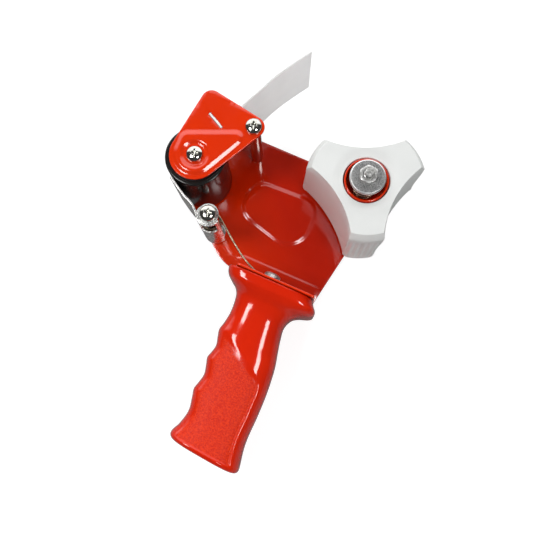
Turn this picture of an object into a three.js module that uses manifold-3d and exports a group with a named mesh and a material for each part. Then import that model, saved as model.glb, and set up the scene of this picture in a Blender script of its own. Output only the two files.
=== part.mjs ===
// Hand-held tape dispenser: a sheet-metal frame on a pistol grip, with a three-lobed hub for the
// tape roll, a rubber-faced roller, a cutter, a wiper and a sprung tape retainer.
//
// Millimetres. The origin is on the hub's axis, in the plane that the rear fasteners lie on.
// +X runs back along the seat, +Y points away from the handle, and +Z runs along the hub's axis
// towards the open side where a roll goes on.
import * as THREE from 'three';
import { mergeVertices } from 'three/addons/utils/BufferGeometryUtils.js';
import Module from 'manifold-3d';

const wasm = await Module();
wasm.setup();

// ---------------------------------------------------------------- driving dimensions
const SHEET = 1.3;              // thickness of both painted plates
const REAR_HEAD = 3.4;          // height of the fastener heads behind the side frame
const PLATE_GAP = 54;           // clear width between the plates
const GAP = 0.3;                // clearance between neighbouring pieces
const RUNNING = 0.08;           // radial clearance of a turning fit

const SIDE_OUT = REAR_HEAD;
const SIDE_IN = SIDE_OUT + SHEET;
const FRONT_IN = SIDE_IN + PLATE_GAP;
const FRONT_OUT = FRONT_IN + SHEET;

const ROLLER = { x: -99.5, y: -26.3, radius: 18.4, wall: 3, length: 50.4 };
const POST = { x: -74.3, y: 3.4, radius: 4 };
const PIVOT = { x: -77.5, y: -55.5, radius: 4, length: 52.9 };
const NOSE = { x: -104.7, y: 8.9, radius: 6.2 };        // upper front corner of both plates

const AXLE = { shoulder: 6, thread: 2.95, shoulderTop: 46, top: 72 };
const HUB = {
  back: 9.5, face: 60, radius: 37.8, frontRadius: 36.2, faceRadius: 33, chamfer: 6,
  lobeHalfAngle: 17.3, waistBack: 22, waistFace: 19.7, phase: 53.4,
  bore: 13.9, boreFloor: 44, wall: 3,
};
const CUP = { outer: 13.2, wall: 1.2, top: 59.4 };
const WASHER = { outer: 10.6, thick: 2.4, bottom: 63.7 };
const NUT_HEIGHT = 5;

const SEAT = { top: -74.6, near: 55, left: -57, right: 0, nearLeft: -50, nearRight: -0.5 };
const GRIP = { middle: 29.85, top: SEAT.top - SHEET - GAP, wall: 2.4, cap: 3.4, boltX: -29.7 };
const SCREW = { head: 5, headHeight: 3.1, shank: 2.4, thread: 2.7, depth: 12 };

// ---------------------------------------------------------------- materials
function material(name, color, roughness, metalness) {
  return new THREE.MeshStandardMaterial({ name, color, roughness, metalness });
}

const paint = () => material('red_paint', 0xc81e05, 0.25, 0.1);
const chrome = () => material('chrome', 0xd8dadc, 0.12, 1);
const zinc = () => material('zinc', 0xb4b6b4, 0.4, 1);
const springSteel = () => material('spring_steel', 0x8d8a84, 0.35, 1);
const bladeSteel = () => material('blade_steel', 0xc9ccce, 0.25, 1);
const blackRubber = () => material('black_rubber', 0x141414, 0.2, 0);
const blackPlastic = () => material('black_plastic', 0x1c1c1e, 0.45, 0);
const whitePlastic = () => material('white_plastic', 0xe2e4e0, 0.5, 0);
const wiperPlastic = () => material('wiper_plastic', 0xcdd0ca, 0.45, 0);
const redPlastic = () => material('red_plastic', 0xd2290c, 0.3, 0);
const fibre = () => material('fibre', 0x4a3a2c, 0.85, 0);

// ---------------------------------------------------------------- solids
function toSolid(geometry) {
  const bare = geometry.clone();
  bare.deleteAttribute('normal');
  bare.deleteAttribute('uv');
  const merged = mergeVertices(bare, 1e-4);
  return new wasm.Manifold(new wasm.Mesh({
    numProp: 3,
    vertProperties: new Float32Array(merged.attributes.position.array),
    triVerts: new Uint32Array(merged.index.array),
  }));
}

function toGeometry(solid) {
  const mesh = solid.getMesh();
  const geometry = new THREE.BufferGeometry();
  geometry.setAttribute('position', new THREE.BufferAttribute(new Float32Array(mesh.vertProperties), 3));
  geometry.setIndex(new THREE.BufferAttribute(new Uint32Array(mesh.triVerts), 1));
  geometry.computeVertexNormals();
  return geometry;
}

function cut(body, ...tools) {
  return tools.reduce((solid, tool) => solid.subtract(tool), body);
}

function join(body, ...others) {
  return others.reduce((solid, other) => solid.add(other), body);
}

// Extrudes a shape in the XY plane from z0 to z1.
function plateGeometry(shape, z0, z1, curveSegments = 10) {
  const geometry = new THREE.ExtrudeGeometry(shape, { depth: z1 - z0, bevelEnabled: false, curveSegments });
  return geometry.translate(0, 0, z0);
}

function plateSolid(shape, z0, z1, curveSegments) {
  return toSolid(plateGeometry(shape, z0, z1, curveSegments));
}

// Turns a profile of [radius, z] points about the Z axis.
function latheGeometry(profile, segments = 32) {
  const points = profile.map(([radius, z]) => new THREE.Vector2(radius, z));
  return new THREE.LatheGeometry(points, segments).rotateX(Math.PI / 2);
}

function rodGeometry(radius, z0, z1, segments = 32) {
  return latheGeometry([[0, z0], [radius, z0], [radius, z1], [0, z1]], segments);
}

function tubeGeometry(inner, outer, z0, z1, segments = 32) {
  return latheGeometry([[inner, z0], [outer, z0], [outer, z1], [inner, z1], [inner, z0]], segments);
}

function rodSolid(x, y, radius, z0, z1, segments) {
  return toSolid(rodGeometry(radius, z0, z1, segments).translate(x, y, 0));
}

function boxSolid(low, high) {
  const size = high.map((value, axis) => value - low[axis]);
  const geometry = new THREE.BoxGeometry(...size);
  return toSolid(geometry.translate(...low.map((value, axis) => value + size[axis] / 2)));
}

// An outline that runs anticlockwise round a list of circles, with a straight tangent between
// neighbours. A negative radius is a hollow corner, whose centre lies outside the outline.
function beltShape(stops) {
  const tangents = stops.map((from, i) => {
    const to = stops[(i + 1) % stops.length];
    const length = Math.hypot(to.x - from.x, to.y - from.y);
    const heading = Math.atan2(to.y - from.y, to.x - from.x) - Math.asin((to.radius - from.radius) / length);
    return heading - Math.PI / 2;       // angle from a centre to its tangent point
  });
  const shape = new THREE.Shape();
  stops.forEach((stop, i) => {
    const inward = tangents[(i + stops.length - 1) % stops.length];
    const outward = tangents[i];
    const turn = stop.radius < 0 ? Math.PI : 0;
    shape.absarc(stop.x, stop.y, Math.abs(stop.radius), inward + turn, outward + turn, stop.radius < 0);
  });
  shape.closePath();
  return shape;
}

function circlePath(x, y, radius) {
  const path = new THREE.Path();
  path.absarc(x, y, radius, 0, Math.PI, false);
  path.absarc(x, y, radius, Math.PI, 2 * Math.PI, false);
  return path;
}

function hexShape(acrossFlats) {
  const corner = acrossFlats / Math.sqrt(3);
  const points = [0, 1, 2, 3, 4, 5].map((k) => {
    const angle = (k * Math.PI) / 3;
    return new THREE.Vector2(corner * Math.cos(angle), corner * Math.sin(angle));
  });
  return new THREE.Shape(points);
}

// Moves a line of points to its left.
function shifted(points, distance) {
  return points.map((point, i) => {
    const before = points[Math.max(i - 1, 0)];
    const after = points[Math.min(i + 1, points.length - 1)];
    const left = new THREE.Vector2(before.y - after.y, after.x - before.x).normalize();
    return point.clone().addScaledVector(left, distance);
  });
}

// A strip of even thickness along a line of points, with the line as its right-hand face.
function stripShape(points, thickness) {
  return new THREE.Shape([...points, ...shifted(points, thickness).reverse()]);
}

function smoothLine(points, steps) {
  return new THREE.SplineCurve(points.map(([x, y]) => new THREE.Vector2(x, y))).getPoints(steps);
}

// A closed solid through rings that all have the same number of points, in order.
function loftGeometry(rings) {
  const count = rings[0].length;
  const centres = [rings[0], rings[rings.length - 1]].map((ring) => {
    const sum = ring.reduce((total, point) => total.add(point), new THREE.Vector3());
    return sum.divideScalar(count);
  });
  const points = [...rings.flat(), ...centres];
  const index = [];
  for (let level = 0; level + 1 < rings.length; level += 1) {
    for (let i = 0; i < count; i += 1) {
      const a = level * count + i;
      const b = level * count + ((i + 1) % count);
      index.push(a, b, a + count, b, b + count, a + count);
    }
  }
  const top = (rings.length - 1) * count;
  for (let i = 0; i < count; i += 1) {
    const next = (i + 1) % count;
    index.push(points.length - 2, next, i);
    index.push(points.length - 1, top + i, top + next);
  }
  const geometry = new THREE.BufferGeometry();
  geometry.setAttribute('position', new THREE.Float32BufferAttribute(points.flatMap((p) => p.toArray()), 3));
  geometry.setIndex(index);
  return geometry;
}

// Bends round wire along a curve.
function wireGeometry(curve, radius, steps, sides = 6) {
  const section = new THREE.Shape(Array.from({ length: sides }, (_, k) => {
    const angle = (2 * Math.PI * k) / sides;
    return new THREE.Vector2(radius * Math.cos(angle), radius * Math.sin(angle));
  }));
  const geometry = new THREE.ExtrudeGeometry(section, { steps, extrudePath: curve, bevelEnabled: false });
  return toGeometry(toSolid(geometry));
}

const dispenser = new THREE.Group();

function addPiece(name, geometry, surface, parent = dispenser) {
  const mesh = new THREE.Mesh(geometry, surface);
  mesh.name = name;
  parent.add(mesh);
  return mesh;
}

function groupAt({ x, y }) {
  const group = new THREE.Group();
  group.position.set(x, y, 0);
  dispenser.add(group);
  return group;
}

// ---------------------------------------------------------------- fasteners
// Pan head with a cross recess; the shank points to -Z from the underside at z.
function panScrewGeometry(z) {
  const { head, headHeight, shank, depth } = SCREW;
  const profile = [[0, z - depth], [shank, z - depth], [shank, z], [head, z], [head, z + 0.9]];
  const steps = 5;
  for (let k = 1; k <= steps; k += 1) {
    const angle = (k / steps) * (Math.PI / 2);
    profile.push([head * Math.cos(angle), z + 0.9 + (headHeight - 0.9) * Math.sin(angle)]);
  }
  profile[profile.length - 1][0] = 0;
  const slotHalf = 0.8;
  const slotReach = 2.7;
  const slotFloor = z + headHeight - 1.7;
  const slots = [
    boxSolid([-slotReach, -slotHalf, slotFloor], [slotReach, slotHalf, z + headHeight + 1]),
    boxSolid([-slotHalf, -slotReach, slotFloor], [slotHalf, slotReach, z + headHeight + 1]),
  ];
  return toGeometry(cut(toSolid(latheGeometry(profile, 20)), ...slots));
}

// Hexagon head that lies on the rear plane, with its shank pointing to +Z.
function rearScrewGeometry(acrossFlats = 8) {
  const head = plateSolid(hexShape(acrossFlats), 0, REAR_HEAD);
  return toGeometry(join(head, rodSolid(0, 0, SCREW.shank, REAR_HEAD - 1, SIDE_IN + SCREW.depth, 20)));
}

// Round spacer with a threaded hole in each end.
function spacerGeometry(radius, z0, z1) {
  const hole = SCREW.depth + 1;
  const rod = toSolid(rodGeometry(radius, z0, z1, 28));
  return toGeometry(cut(rod,
    rodSolid(0, 0, SCREW.thread, z0 - 1, z0 + hole, 20),
    rodSolid(0, 0, SCREW.thread, z1 - hole, z1 + 1, 20)));
}

function nutGeometry(acrossFlats, hole, z0, z1) {
  const shape = hexShape(acrossFlats);
  shape.holes.push(circlePath(0, 0, hole));
  return plateGeometry(shape, z0, z1);
}

// ---------------------------------------------------------------- side frame and front plate
const SLOT = { x: -96.9, y: -2, length: 12.3, width: 1.7, angle: Math.atan2(-5.4, 10.6) };

function slotSolid(z0, z1) {
  const geometry = new THREE.BoxGeometry(SLOT.length, SLOT.width, z1 - z0);
  return toSolid(geometry.rotateZ(SLOT.angle).translate(SLOT.x, SLOT.y, (z0 + z1) / 2));
}

function screwHoles(spots, z0, z1) {
  return spots.map(({ x, y }) => rodSolid(x, y, SCREW.thread, z0, z1, 20));
}

// Ring pressed into the side frame to stiffen it.
function stiffeningRing() {
  const outline = (shrink) => beltShape([
    { x: -36.5, y: -30.3, radius: 15.9 - shrink },
    { x: -33, y: -21.5, radius: 12.5 - shrink },
    { x: -59.2, y: -21.7, radius: 11.8 - shrink },
    { x: -57.5, y: -27, radius: 13.6 - shrink },
  ]);
  const beadWidth = 3;
  const beadHeight = 0.7;
  const outer = plateSolid(outline(0), SIDE_IN - 0.2, SIDE_IN + beadHeight, 7);
  const inner = plateSolid(outline(beadWidth), SIDE_IN - 1, SIDE_IN + beadHeight + 1, 7);
  return cut(outer, inner);
}

// The seat is the frame's lower edge folded towards the open side, tapering to its near edge.
function seatSolid() {
  const bend = 3;                               // outer radius of the fold
  const low = SEAT.top - SHEET;
  const arc = (radius, from, to) => [0, 1, 2, 3, 4].map((k) => {
    const angle = from + ((to - from) * k) / 4;
    const centre = { z: SIDE_OUT + bend, y: low + bend };
    return new THREE.Vector2(centre.z + radius * Math.cos(angle), centre.y + radius * Math.sin(angle));
  });
  const profile = new THREE.Shape([
    new THREE.Vector2(SIDE_OUT, -68),
    ...arc(bend, Math.PI, 1.5 * Math.PI),
    new THREE.Vector2(SEAT.near, low),
    new THREE.Vector2(SEAT.near, SEAT.top),
    ...arc(bend - SHEET, 1.5 * Math.PI, Math.PI),
    new THREE.Vector2(SIDE_IN, -68),
  ]);
  // the profile's x becomes Z, and its length runs along X
  const length = SEAT.right - SEAT.left;
  const bar = new THREE.ExtrudeGeometry(profile, { depth: length, bevelEnabled: false });
  bar.rotateY(-Math.PI / 2).translate(SEAT.right, 0, 0);
  const taper = new THREE.Shape([
    new THREE.Vector2(SEAT.left, -1),
    new THREE.Vector2(SEAT.right, -1),
    new THREE.Vector2(SEAT.nearRight, SEAT.near + 1),
    new THREE.Vector2(SEAT.nearLeft, SEAT.near + 1),
  ]);
  const blank = new THREE.ExtrudeGeometry(taper, { depth: 40, bevelEnabled: false });
  return toSolid(bar).intersect(toSolid(blank.rotateX(Math.PI / 2).translate(0, -50, 0)));
}

function sideFrameGeometry() {
  const outline = beltShape([
    { x: -54.2, y: -43.4, radius: 30 },         // lower front curve
    { x: -0.9, y: -72.4, radius: 1 },
    { x: 21.4, y: -27, radius: -13.6 },         // hollow under the axle's lug
    { x: 0.5, y: -2, radius: 16.5 },            // lug round the axle
    NOSE,
    { x: ROLLER.x, y: ROLLER.y, radius: 14.4 },
  ]);
  const plate = join(plateSolid(outline, SIDE_OUT, SIDE_IN, 12), seatSolid(), stiffeningRing());
  const boltHole = rodGeometry(3.3, -2, 2, 20).rotateX(Math.PI / 2);
  return toGeometry(cut(plate,
    ...screwHoles([ROLLER, POST, PIVOT], SIDE_OUT - 1, SIDE_IN + 1),
    rodSolid(0, 0, AXLE.thread + GAP, SIDE_OUT - 1, SIDE_IN + 1, 28),
    slotSolid(SIDE_OUT - 1, SIDE_IN + 1),
    toSolid(boltHole.translate(GRIP.boltX, SEAT.top, GRIP.middle))));
}

function frontPlateGeometry() {
  const outline = beltShape([
    { x: ROLLER.x, y: ROLLER.y, radius: 15.4 },
    { x: POST.x, y: POST.y, radius: 6.6 },
    NOSE,
  ]);
  return toGeometry(cut(plateSolid(outline, FRONT_IN, FRONT_OUT, 12),
    ...screwHoles([ROLLER, POST], FRONT_IN - 1, FRONT_OUT + 1),
    slotSolid(FRONT_IN - 1, FRONT_OUT + 1)));
}

addPiece('side_frame', sideFrameGeometry(), paint());
addPiece('front_plate', frontPlateGeometry(), paint());

// ---------------------------------------------------------------- posts, shaft and their screws
function addPost(spot, name, radius, top, steel) {
  const group = groupAt(spot);
  addPiece(name, spacerGeometry(radius, SIDE_IN, top), steel, group);
  addPiece(`${name}_rear_screw`, rearScrewGeometry(), zinc(), group);
  return group;
}

const postGroup = addPost(POST, 'spacer_post', POST.radius, FRONT_IN, chrome());
addPiece('spacer_post_front_screw', panScrewGeometry(FRONT_OUT), chrome(), postGroup);

const rollerGroup = addPost(ROLLER, 'roller_shaft', 4, FRONT_IN, zinc());
addPiece('roller_shaft_front_screw', panScrewGeometry(FRONT_OUT), chrome(), rollerGroup);

const pivotTop = SIDE_IN + PIVOT.length;
const pivotGroup = addPost(PIVOT, 'pivot_post', PIVOT.radius, pivotTop, chrome());
addPiece('pivot_post_front_screw', panScrewGeometry(pivotTop), chrome(), pivotGroup);

// ---------------------------------------------------------------- roller
const rollerBack = (SIDE_IN + FRONT_IN - ROLLER.length) / 2;
const rollerFront = rollerBack + ROLLER.length;
const sleeveBore = ROLLER.radius - ROLLER.wall;
addPiece('roller_sleeve', tubeGeometry(sleeveBore, ROLLER.radius, rollerBack, rollerFront, 48),
  blackRubber(), rollerGroup);

// End bush: a flanged disc pushed into the sleeve, with a bearing boss round the shaft.
function bushGeometry(outside, inward) {
  const bore = 4 + RUNNING;
  const disc = 2.4;
  const rim = sleeveBore - 0.1;
  const a = outside + inward * 3;
  const b = a + inward * disc;
  const c = b + inward * 6;
  const profile = [
    [bore, a - inward * 2], [8, a - inward * 2], [8, a],
    [rim - 2, a], [rim - 2, outside + inward], [rim, outside + inward],
    [rim, c], [rim - 2, c], [rim - 2, b],
    [8, b], [8, c], [bore, c],
  ];
  const loop = inward > 0 ? profile : [...profile].reverse();
  return latheGeometry([...loop, loop[0]], 32);
}

addPiece('roller_rear_bush', bushGeometry(rollerBack, 1), blackPlastic(), rollerGroup);
addPiece('roller_front_bush', bushGeometry(rollerFront, -1), blackPlastic(), rollerGroup);

// ---------------------------------------------------------------- cutter and wiper
const slotDirection = new THREE.Vector2(Math.cos(SLOT.angle), Math.sin(SLOT.angle));
const slotNormal = new THREE.Vector2(-slotDirection.y, slotDirection.x);
const slotPoint = (along, across) => new THREE.Vector2(SLOT.x, SLOT.y)
  .addScaledVector(slotDirection, along)
  .addScaledVector(slotNormal, across);

const CARRIER = { sheet: 1.1, front: -12.4, back: 4.9, z0: SIDE_IN + 0.2, z1: FRONT_IN - 0.2 };
const WIPER = { thick: 0.9, z0: 6.9, z1: 56.9 };
// Line of the wiper's rear face, from its root behind the cutter to its free end.
const wiperCurve = new THREE.SplineCurve([[-90.2, 3.2], [-85.7, 15.1], [-80.7, 26.6], [-75.6, 38.6],
  [-69.8, 50.1], [-63.2, 62.9]].map(([x, y]) => new THREE.Vector2(x, y)));
const wiperBend = 0.18;         // share of that line that the clamp holds
const wiperGap = GAP / wiperCurve.getLength();

// Sheet that carries the cutter between the plates and turns up behind the wiper's root.
function carrierGeometry() {
  const lowerFace = [
    slotPoint(CARRIER.front, -CARRIER.sheet / 2),
    slotPoint(CARRIER.back, -CARRIER.sheet / 2),
    new THREE.Vector2(-90.7, -4.3),
    new THREE.Vector2(-89.9, -2.2),
    new THREE.Vector2(-89.3, 1.4),
    new THREE.Vector2(-85.2, 12.6),
  ];
  const sheet = plateSolid(stripShape(lowerFace, CARRIER.sheet), CARRIER.z0, CARRIER.z1);
  const tabLength = SLOT.length - 2 * GAP;
  const tab = new THREE.BoxGeometry(tabLength, CARRIER.sheet, FRONT_OUT - SIDE_OUT);
  tab.rotateZ(SLOT.angle).translate(SLOT.x, SLOT.y, (FRONT_OUT + SIDE_OUT) / 2);
  return toGeometry(join(sheet, toSolid(tab)));
}

const BLADE = { thick: 0.6, width: 10.5, tooth: 2.4, pitch: 2.8, margin: 1.2 };

// Serrated strip on the carrier's upper face, with its teeth towards the front.
function bladeGeometry() {
  const length = CARRIER.z1 - CARRIER.z0 - 2 * BLADE.margin;
  const teeth = Math.floor(length / BLADE.pitch);
  const start = -length / 2;
  const points = [new THREE.Vector2(BLADE.width, start), new THREE.Vector2(BLADE.width, -start)];
  for (let k = teeth; k > 0; k -= 1) {
    points.push(new THREE.Vector2(BLADE.tooth, start + (k * length) / teeth));
    points.push(new THREE.Vector2(0, start + ((k - 0.5) * length) / teeth));
  }
  points.push(new THREE.Vector2(BLADE.tooth, start));
  return new THREE.ExtrudeGeometry(new THREE.Shape(points), { depth: BLADE.thick, bevelEnabled: false });
}

// Lays a piece, drawn flat with x along the slot, on the carrier's upper face.
function layOnCarrier(mesh, along, lift) {
  const spot = slotPoint(along, CARRIER.sheet / 2 + lift);
  mesh.position.set(spot.x, spot.y, (CARRIER.z0 + CARRIER.z1) / 2);
  const toPlane = new THREE.Matrix4().makeBasis(
    new THREE.Vector3(slotDirection.x, slotDirection.y, 0),
    new THREE.Vector3(0, 0, -1),
    new THREE.Vector3(slotNormal.x, slotNormal.y, 0),
  );
  mesh.quaternion.setFromRotationMatrix(toPlane);
}

// Domed rivet head.
function rivetGeometry(radius, height) {
  const profile = [[0, 0], [radius, 0], [radius * 0.86, height * 0.6], [radius * 0.5, height], [0, height]];
  return latheGeometry(profile, 16);
}

addPiece('blade_carrier', carrierGeometry(), zinc());
layOnCarrier(addPiece('cutter_blade', bladeGeometry(), bladeSteel()), CARRIER.front - 1.4, GAP / 3);
for (const [k, side] of [-1, 1].entries()) {
  const rivet = addPiece(`blade_rivet_${k + 1}`, rivetGeometry(2, 1), zinc());
  layOnCarrier(rivet, -6.5, GAP / 3 + BLADE.thick + 0.05);
  rivet.position.z += side * 16;
}

// Points along a stretch of a curve, given as shares of its length.
function stretch(curve, from, to, steps) {
  return Array.from({ length: steps + 1 }, (_, k) => curve.getPointAt(from + ((to - from) * k) / steps));
}

function wiperPiece(from, to, steps, lift, thickness) {
  const line = shifted(stretch(wiperCurve, from, to, steps), lift);
  return plateGeometry(stripShape(line, thickness), WIPER.z0, WIPER.z1);
}

// One strip in two pieces: its root in the clamp, and the free length that bends.
addPiece('wiper_root', wiperPiece(0, wiperBend, 4, 0, WIPER.thick), wiperPlastic());
addPiece('wiper_blade', wiperPiece(wiperBend + wiperGap, 1, 16, 0, WIPER.thick), wiperPlastic());
addPiece('wiper_clamp', wiperPiece(0.01, wiperBend - 0.02, 3, WIPER.thick + 0.1, 1), zinc());

const clampLift = WIPER.thick + 1.25;
for (const [k, z] of [15, (WIPER.z0 + WIPER.z1) / 2, 49].entries()) {
  const spot = shifted(stretch(wiperCurve, 0.07, 0.11, 2), clampLift)[1];
  const tangent = wiperCurve.getTangentAt(0.09);
  const outward = new THREE.Vector3(-tangent.y, tangent.x, 0);
  const rivet = addPiece(`clamp_rivet_${k + 1}`, rivetGeometry(2, 0.9), zinc());
  rivet.position.set(spot.x, spot.y, z);
  rivet.quaternion.setFromUnitVectors(new THREE.Vector3(0, 0, 1), outward);
}

// ---------------------------------------------------------------- tape retainer
const RETAINER = {
  sheet: 1.2, channel: 7.7, z0: 6.3, z1: 57.2, ear: 1.2, channelEnd: 349,
  windowFrom: 243, windowTo: 327, windowLow: 39.5,
};

function polar(radius, degrees) {
  const angle = THREE.MathUtils.degToRad(degrees);
  return new THREE.Vector2(radius * Math.cos(angle), radius * Math.sin(angle));
}

// A flap that leans on the roller and ends in an open channel with an ear at each end, which
// turn on the pivot post. Drawn about the pivot.
function retainerGeometry() {
  const flap = smoothLine([[-30.8, 11.4], [-25.4, 8.1], [-18.6, 4.2], [-12.6, 1.5], [-8.2, -1.9]], 10);
  const channel = [];
  for (let degrees = 207; degrees <= RETAINER.channelEnd; degrees += 14.2) {
    channel.push(polar(RETAINER.channel, degrees));
  }
  const sheet = plateSolid(stripShape([...flap, ...channel], RETAINER.sheet), RETAINER.z0, RETAINER.z1);
  const earShape = beltShape([
    { x: -1, y: -1.2, radius: 6 },
    { x: 0, y: 0, radius: 6.2 },
  ]);
  const { z0, z1, ear, windowFrom, windowTo, windowLow } = RETAINER;
  const windowMiddle = (windowFrom + windowTo) / 2;
  const window = new THREE.Shape([polar(5, windowFrom), polar(12, windowFrom), polar(12, windowMiddle),
    polar(12, windowTo), polar(5, windowTo)]);
  const flapWithEars = join(cut(sheet, plateSolid(window, windowLow, z1 - ear)),
    plateSolid(earShape, z0, z0 + ear, 12), plateSolid(earShape, z1 - ear, z1, 12));
  return toGeometry(cut(flapWithEars, rodSolid(0, 0, PIVOT.radius + RUNNING, z0 - 1, z1 + 1, 28)));
}

// Torsion spring round the pivot post. Its long leg runs down to the seat and pushes the flap
// against the roller.
function torsionSpringGeometry() {
  const coil = 5.35;
  const wire = 0.6;
  const turns = 5;
  const pitch = 1.9;
  const exitAngle = 53.7;
  const top = 40.6;
  const steps = 12;
  const points = [];
  for (let k = 0; k <= turns * steps; k += 1) {
    const left = turns - k / steps;
    const spot = polar(coil, exitAngle + 360 * left);
    points.push(new THREE.Vector3(spot.x, spot.y, top - pitch * left));
  }
  for (const [x, y] of [[6.6, 2.1], [16.1, -5.1], [25.6, -11.8], [32.6, -15.7], [37.5, -17.6]]) {
    points.push(new THREE.Vector3(x, y, top));
  }
  return wireGeometry(new THREE.CatmullRomCurve3(points), wire, 96);
}

addPiece('retainer_flap', retainerGeometry(), chrome(), pivotGroup);
addPiece('torsion_spring', torsionSpringGeometry(), springSteel(), pivotGroup);

// ---------------------------------------------------------------- axle and hub
function axleStudGeometry() {
  const { shoulder, thread, shoulderTop, top } = AXLE;
  const profile = [
    [0, 0], [thread - 0.6, 0], [thread, 0.6], [thread, SIDE_IN],
    [shoulder, SIDE_IN], [shoulder, shoulderTop], [thread, shoulderTop],
    [thread, top - 1], [thread - 1, top], [0, top],
  ];
  return latheGeometry(profile, 32);
}

// One ring of the hub's outline: three lobe ends with a hollow waist between each pair.
function hubRing(z, lobeRadius, waist, halfAngle = HUB.lobeHalfAngle) {
  const points = [];
  const lobeSteps = 4;
  const waistSteps = 8;
  for (let lobe = 0; lobe < 3; lobe += 1) {
    const middle = HUB.phase + 120 * lobe;
    for (let k = 0; k < lobeSteps; k += 1) {
      points.push(polar(lobeRadius, middle + halfAngle * ((2 * k) / lobeSteps - 1)));
    }
    const start = polar(lobeRadius, middle + halfAngle);
    const end = polar(lobeRadius, middle + 120 - halfAngle);
    const chordMiddle = start.clone().add(end).multiplyScalar(0.5);
    const sag = chordMiddle.length() - waist;
    const inward = chordMiddle.clone().normalize();
    for (let k = 0; k < waistSteps; k += 1) {
      const along = k / waistSteps;
      const dip = sag * (1 - (2 * along - 1) ** 2);
      points.push(start.clone().lerp(end, along).addScaledVector(inward, -dip));
    }
  }
  return points.map((point) => new THREE.Vector3(point.x, point.y, z));
}

function hubGeometry() {
  const { back, face, radius, frontRadius, faceRadius, chamfer, waistBack, waistFace, bore, boreFloor, wall } = HUB;
  const body = toSolid(loftGeometry([
    hubRing(back, radius, waistBack),
    hubRing(face - chamfer, frontRadius, waistFace + 0.5),
    hubRing(face, faceRadius, waistFace),
  ]));
  const barrel = bore + 2.5;
  const pockets = toSolid(loftGeometry([
    hubRing(back - 1, radius - wall, barrel - 0.6, HUB.lobeHalfAngle - 3),
    hubRing(face - chamfer - wall, frontRadius - wall, barrel - 1.5, HUB.lobeHalfAngle - 3),
  ]));
  const core = rodSolid(0, 0, barrel, back - 2, face, 40);
  const foot = toSolid(tubeGeometry(AXLE.shoulder + RUNNING, 12, 6.8, back + 1, 40));
  return toGeometry(join(
    cut(body, cut(pockets, core), rodSolid(0, 0, bore, boreFloor, face + 1, 40),
      rodSolid(0, 0, AXLE.shoulder + RUNNING, back - 1, face, 40)),
    foot));
}

// Pressed steel cup that the tension spring pushes into the hub's bore.
function brakeCupGeometry() {
  const { outer, wall, top } = CUP;
  const floor = HUB.boreFloor + 0.2;
  const hole = AXLE.shoulder + GAP;
  const lip = 1;
  const profile = [
    [hole, floor], [outer - lip, floor], [outer, floor + lip], [outer, top],
    [outer - wall, top], [outer - wall, floor + wall], [hole, floor + wall], [hole, floor],
  ];
  return latheGeometry(profile, 40);
}

function tensionSpringGeometry() {
  const low = HUB.boreFloor + 0.2 + CUP.wall;
  const high = WASHER.bottom;
  const wire = 0.8;
  const turns = 5;
  const steps = 14;
  const points = Array.from({ length: turns * steps + 1 }, (_, k) => {
    const spot = polar(7.6, (360 * k) / steps);
    const share = k / (turns * steps);
    return new THREE.Vector3(spot.x, spot.y, low + wire + 0.1 + share * (high - low - 2 * wire - 0.2));
  });
  return wireGeometry(new THREE.CatmullRomCurve3(points), wire, turns * steps);
}

addPiece('axle_stud', axleStudGeometry(), zinc());
addPiece('axle_rear_nut', nutGeometry(10, AXLE.thread + 0.1, 0, REAR_HEAD), zinc());
addPiece('friction_washer', tubeGeometry(AXLE.shoulder + 0.2, 12.5, SIDE_IN + 0.1, 6.5), fibre());
addPiece('hub', hubGeometry(), whitePlastic());
addPiece('brake_cup', brakeCupGeometry(), paint());
addPiece('tension_spring', tensionSpringGeometry(), springSteel());
addPiece('tension_washer',
  tubeGeometry(AXLE.thread + 0.2, WASHER.outer, WASHER.bottom, WASHER.bottom + WASHER.thick, 36), zinc());
const nutBottom = WASHER.bottom + WASHER.thick + 0.05;
addPiece('tension_nut', nutGeometry(10, AXLE.thread + 0.1, nutBottom, nutBottom + NUT_HEIGHT), zinc());

// ---------------------------------------------------------------- handle
// Outline of the grip seen from the open side: [height, x] from the collar to the butt.
const gripFront = [
  [-76, -55.6], [-79, -55], [-82, -53.4], [-84, -51], [-87, -47.2], [-91, -45], [-101, -43.9],
  [-109, -44.8], [-114, -45.9], [-118, -45], [-123.5, -43.6], [-128, -44.4], [-132, -45.5], [-136, -44.4],
  [-142, -43], [-148, -44.1], [-152, -45.1], [-156, -44.2], [-165, -42.5], [-174, -44.3], [-181.5, -46.8],
  [-190, -46],
];
const gripBack = [[-76, -0.8], [-79, 1], [-82, 3.3], [-84.5, 3.3], [-86, 1.5], [-88, -3.4], [-91, -7.6],
  [-97, -10.1], [-104, -9.4], [-112, -7.7], [-122, -5.4], [-137, -3.8], [-152, -3.4], [-166, -3.6],
  [-174, -2.9], [-182, -1], [-190, 0.2]];
const gripHalfWidth = [
  [-76, 24.4], [-82, 24], [-85, 22.6], [-90, 19.6], [-98, 17.8],
  [-110, 17.2], [-150, 17.2], [-172, 17.8], [-190, 18.8],
];

// Value at a height, from a smooth curve through a table of [height, value].
function tableAt(table, height) {
  const last = table.length - 2;
  const k = Math.min(Math.max(table.findIndex(([y]) => y <= height) - 1, 0), last);
  const slope = (i) => {
    const [y0, v0] = table[Math.max(i - 1, 0)];
    const [y1, v1] = table[Math.min(i + 1, table.length - 1)];
    return (v1 - v0) / (y1 - y0);
  };
  const [y0, v0] = table[k];
  const [y1, v1] = table[k + 1];
  const span = y1 - y0;
  const t = (height - y0) / span;
  return v0 * (1 + 2 * t) * (1 - t) ** 2 + slope(k) * span * t * (1 - t) ** 2
    + v1 * t * t * (3 - 2 * t) + slope(k + 1) * span * t * t * (t - 1);
}

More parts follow.
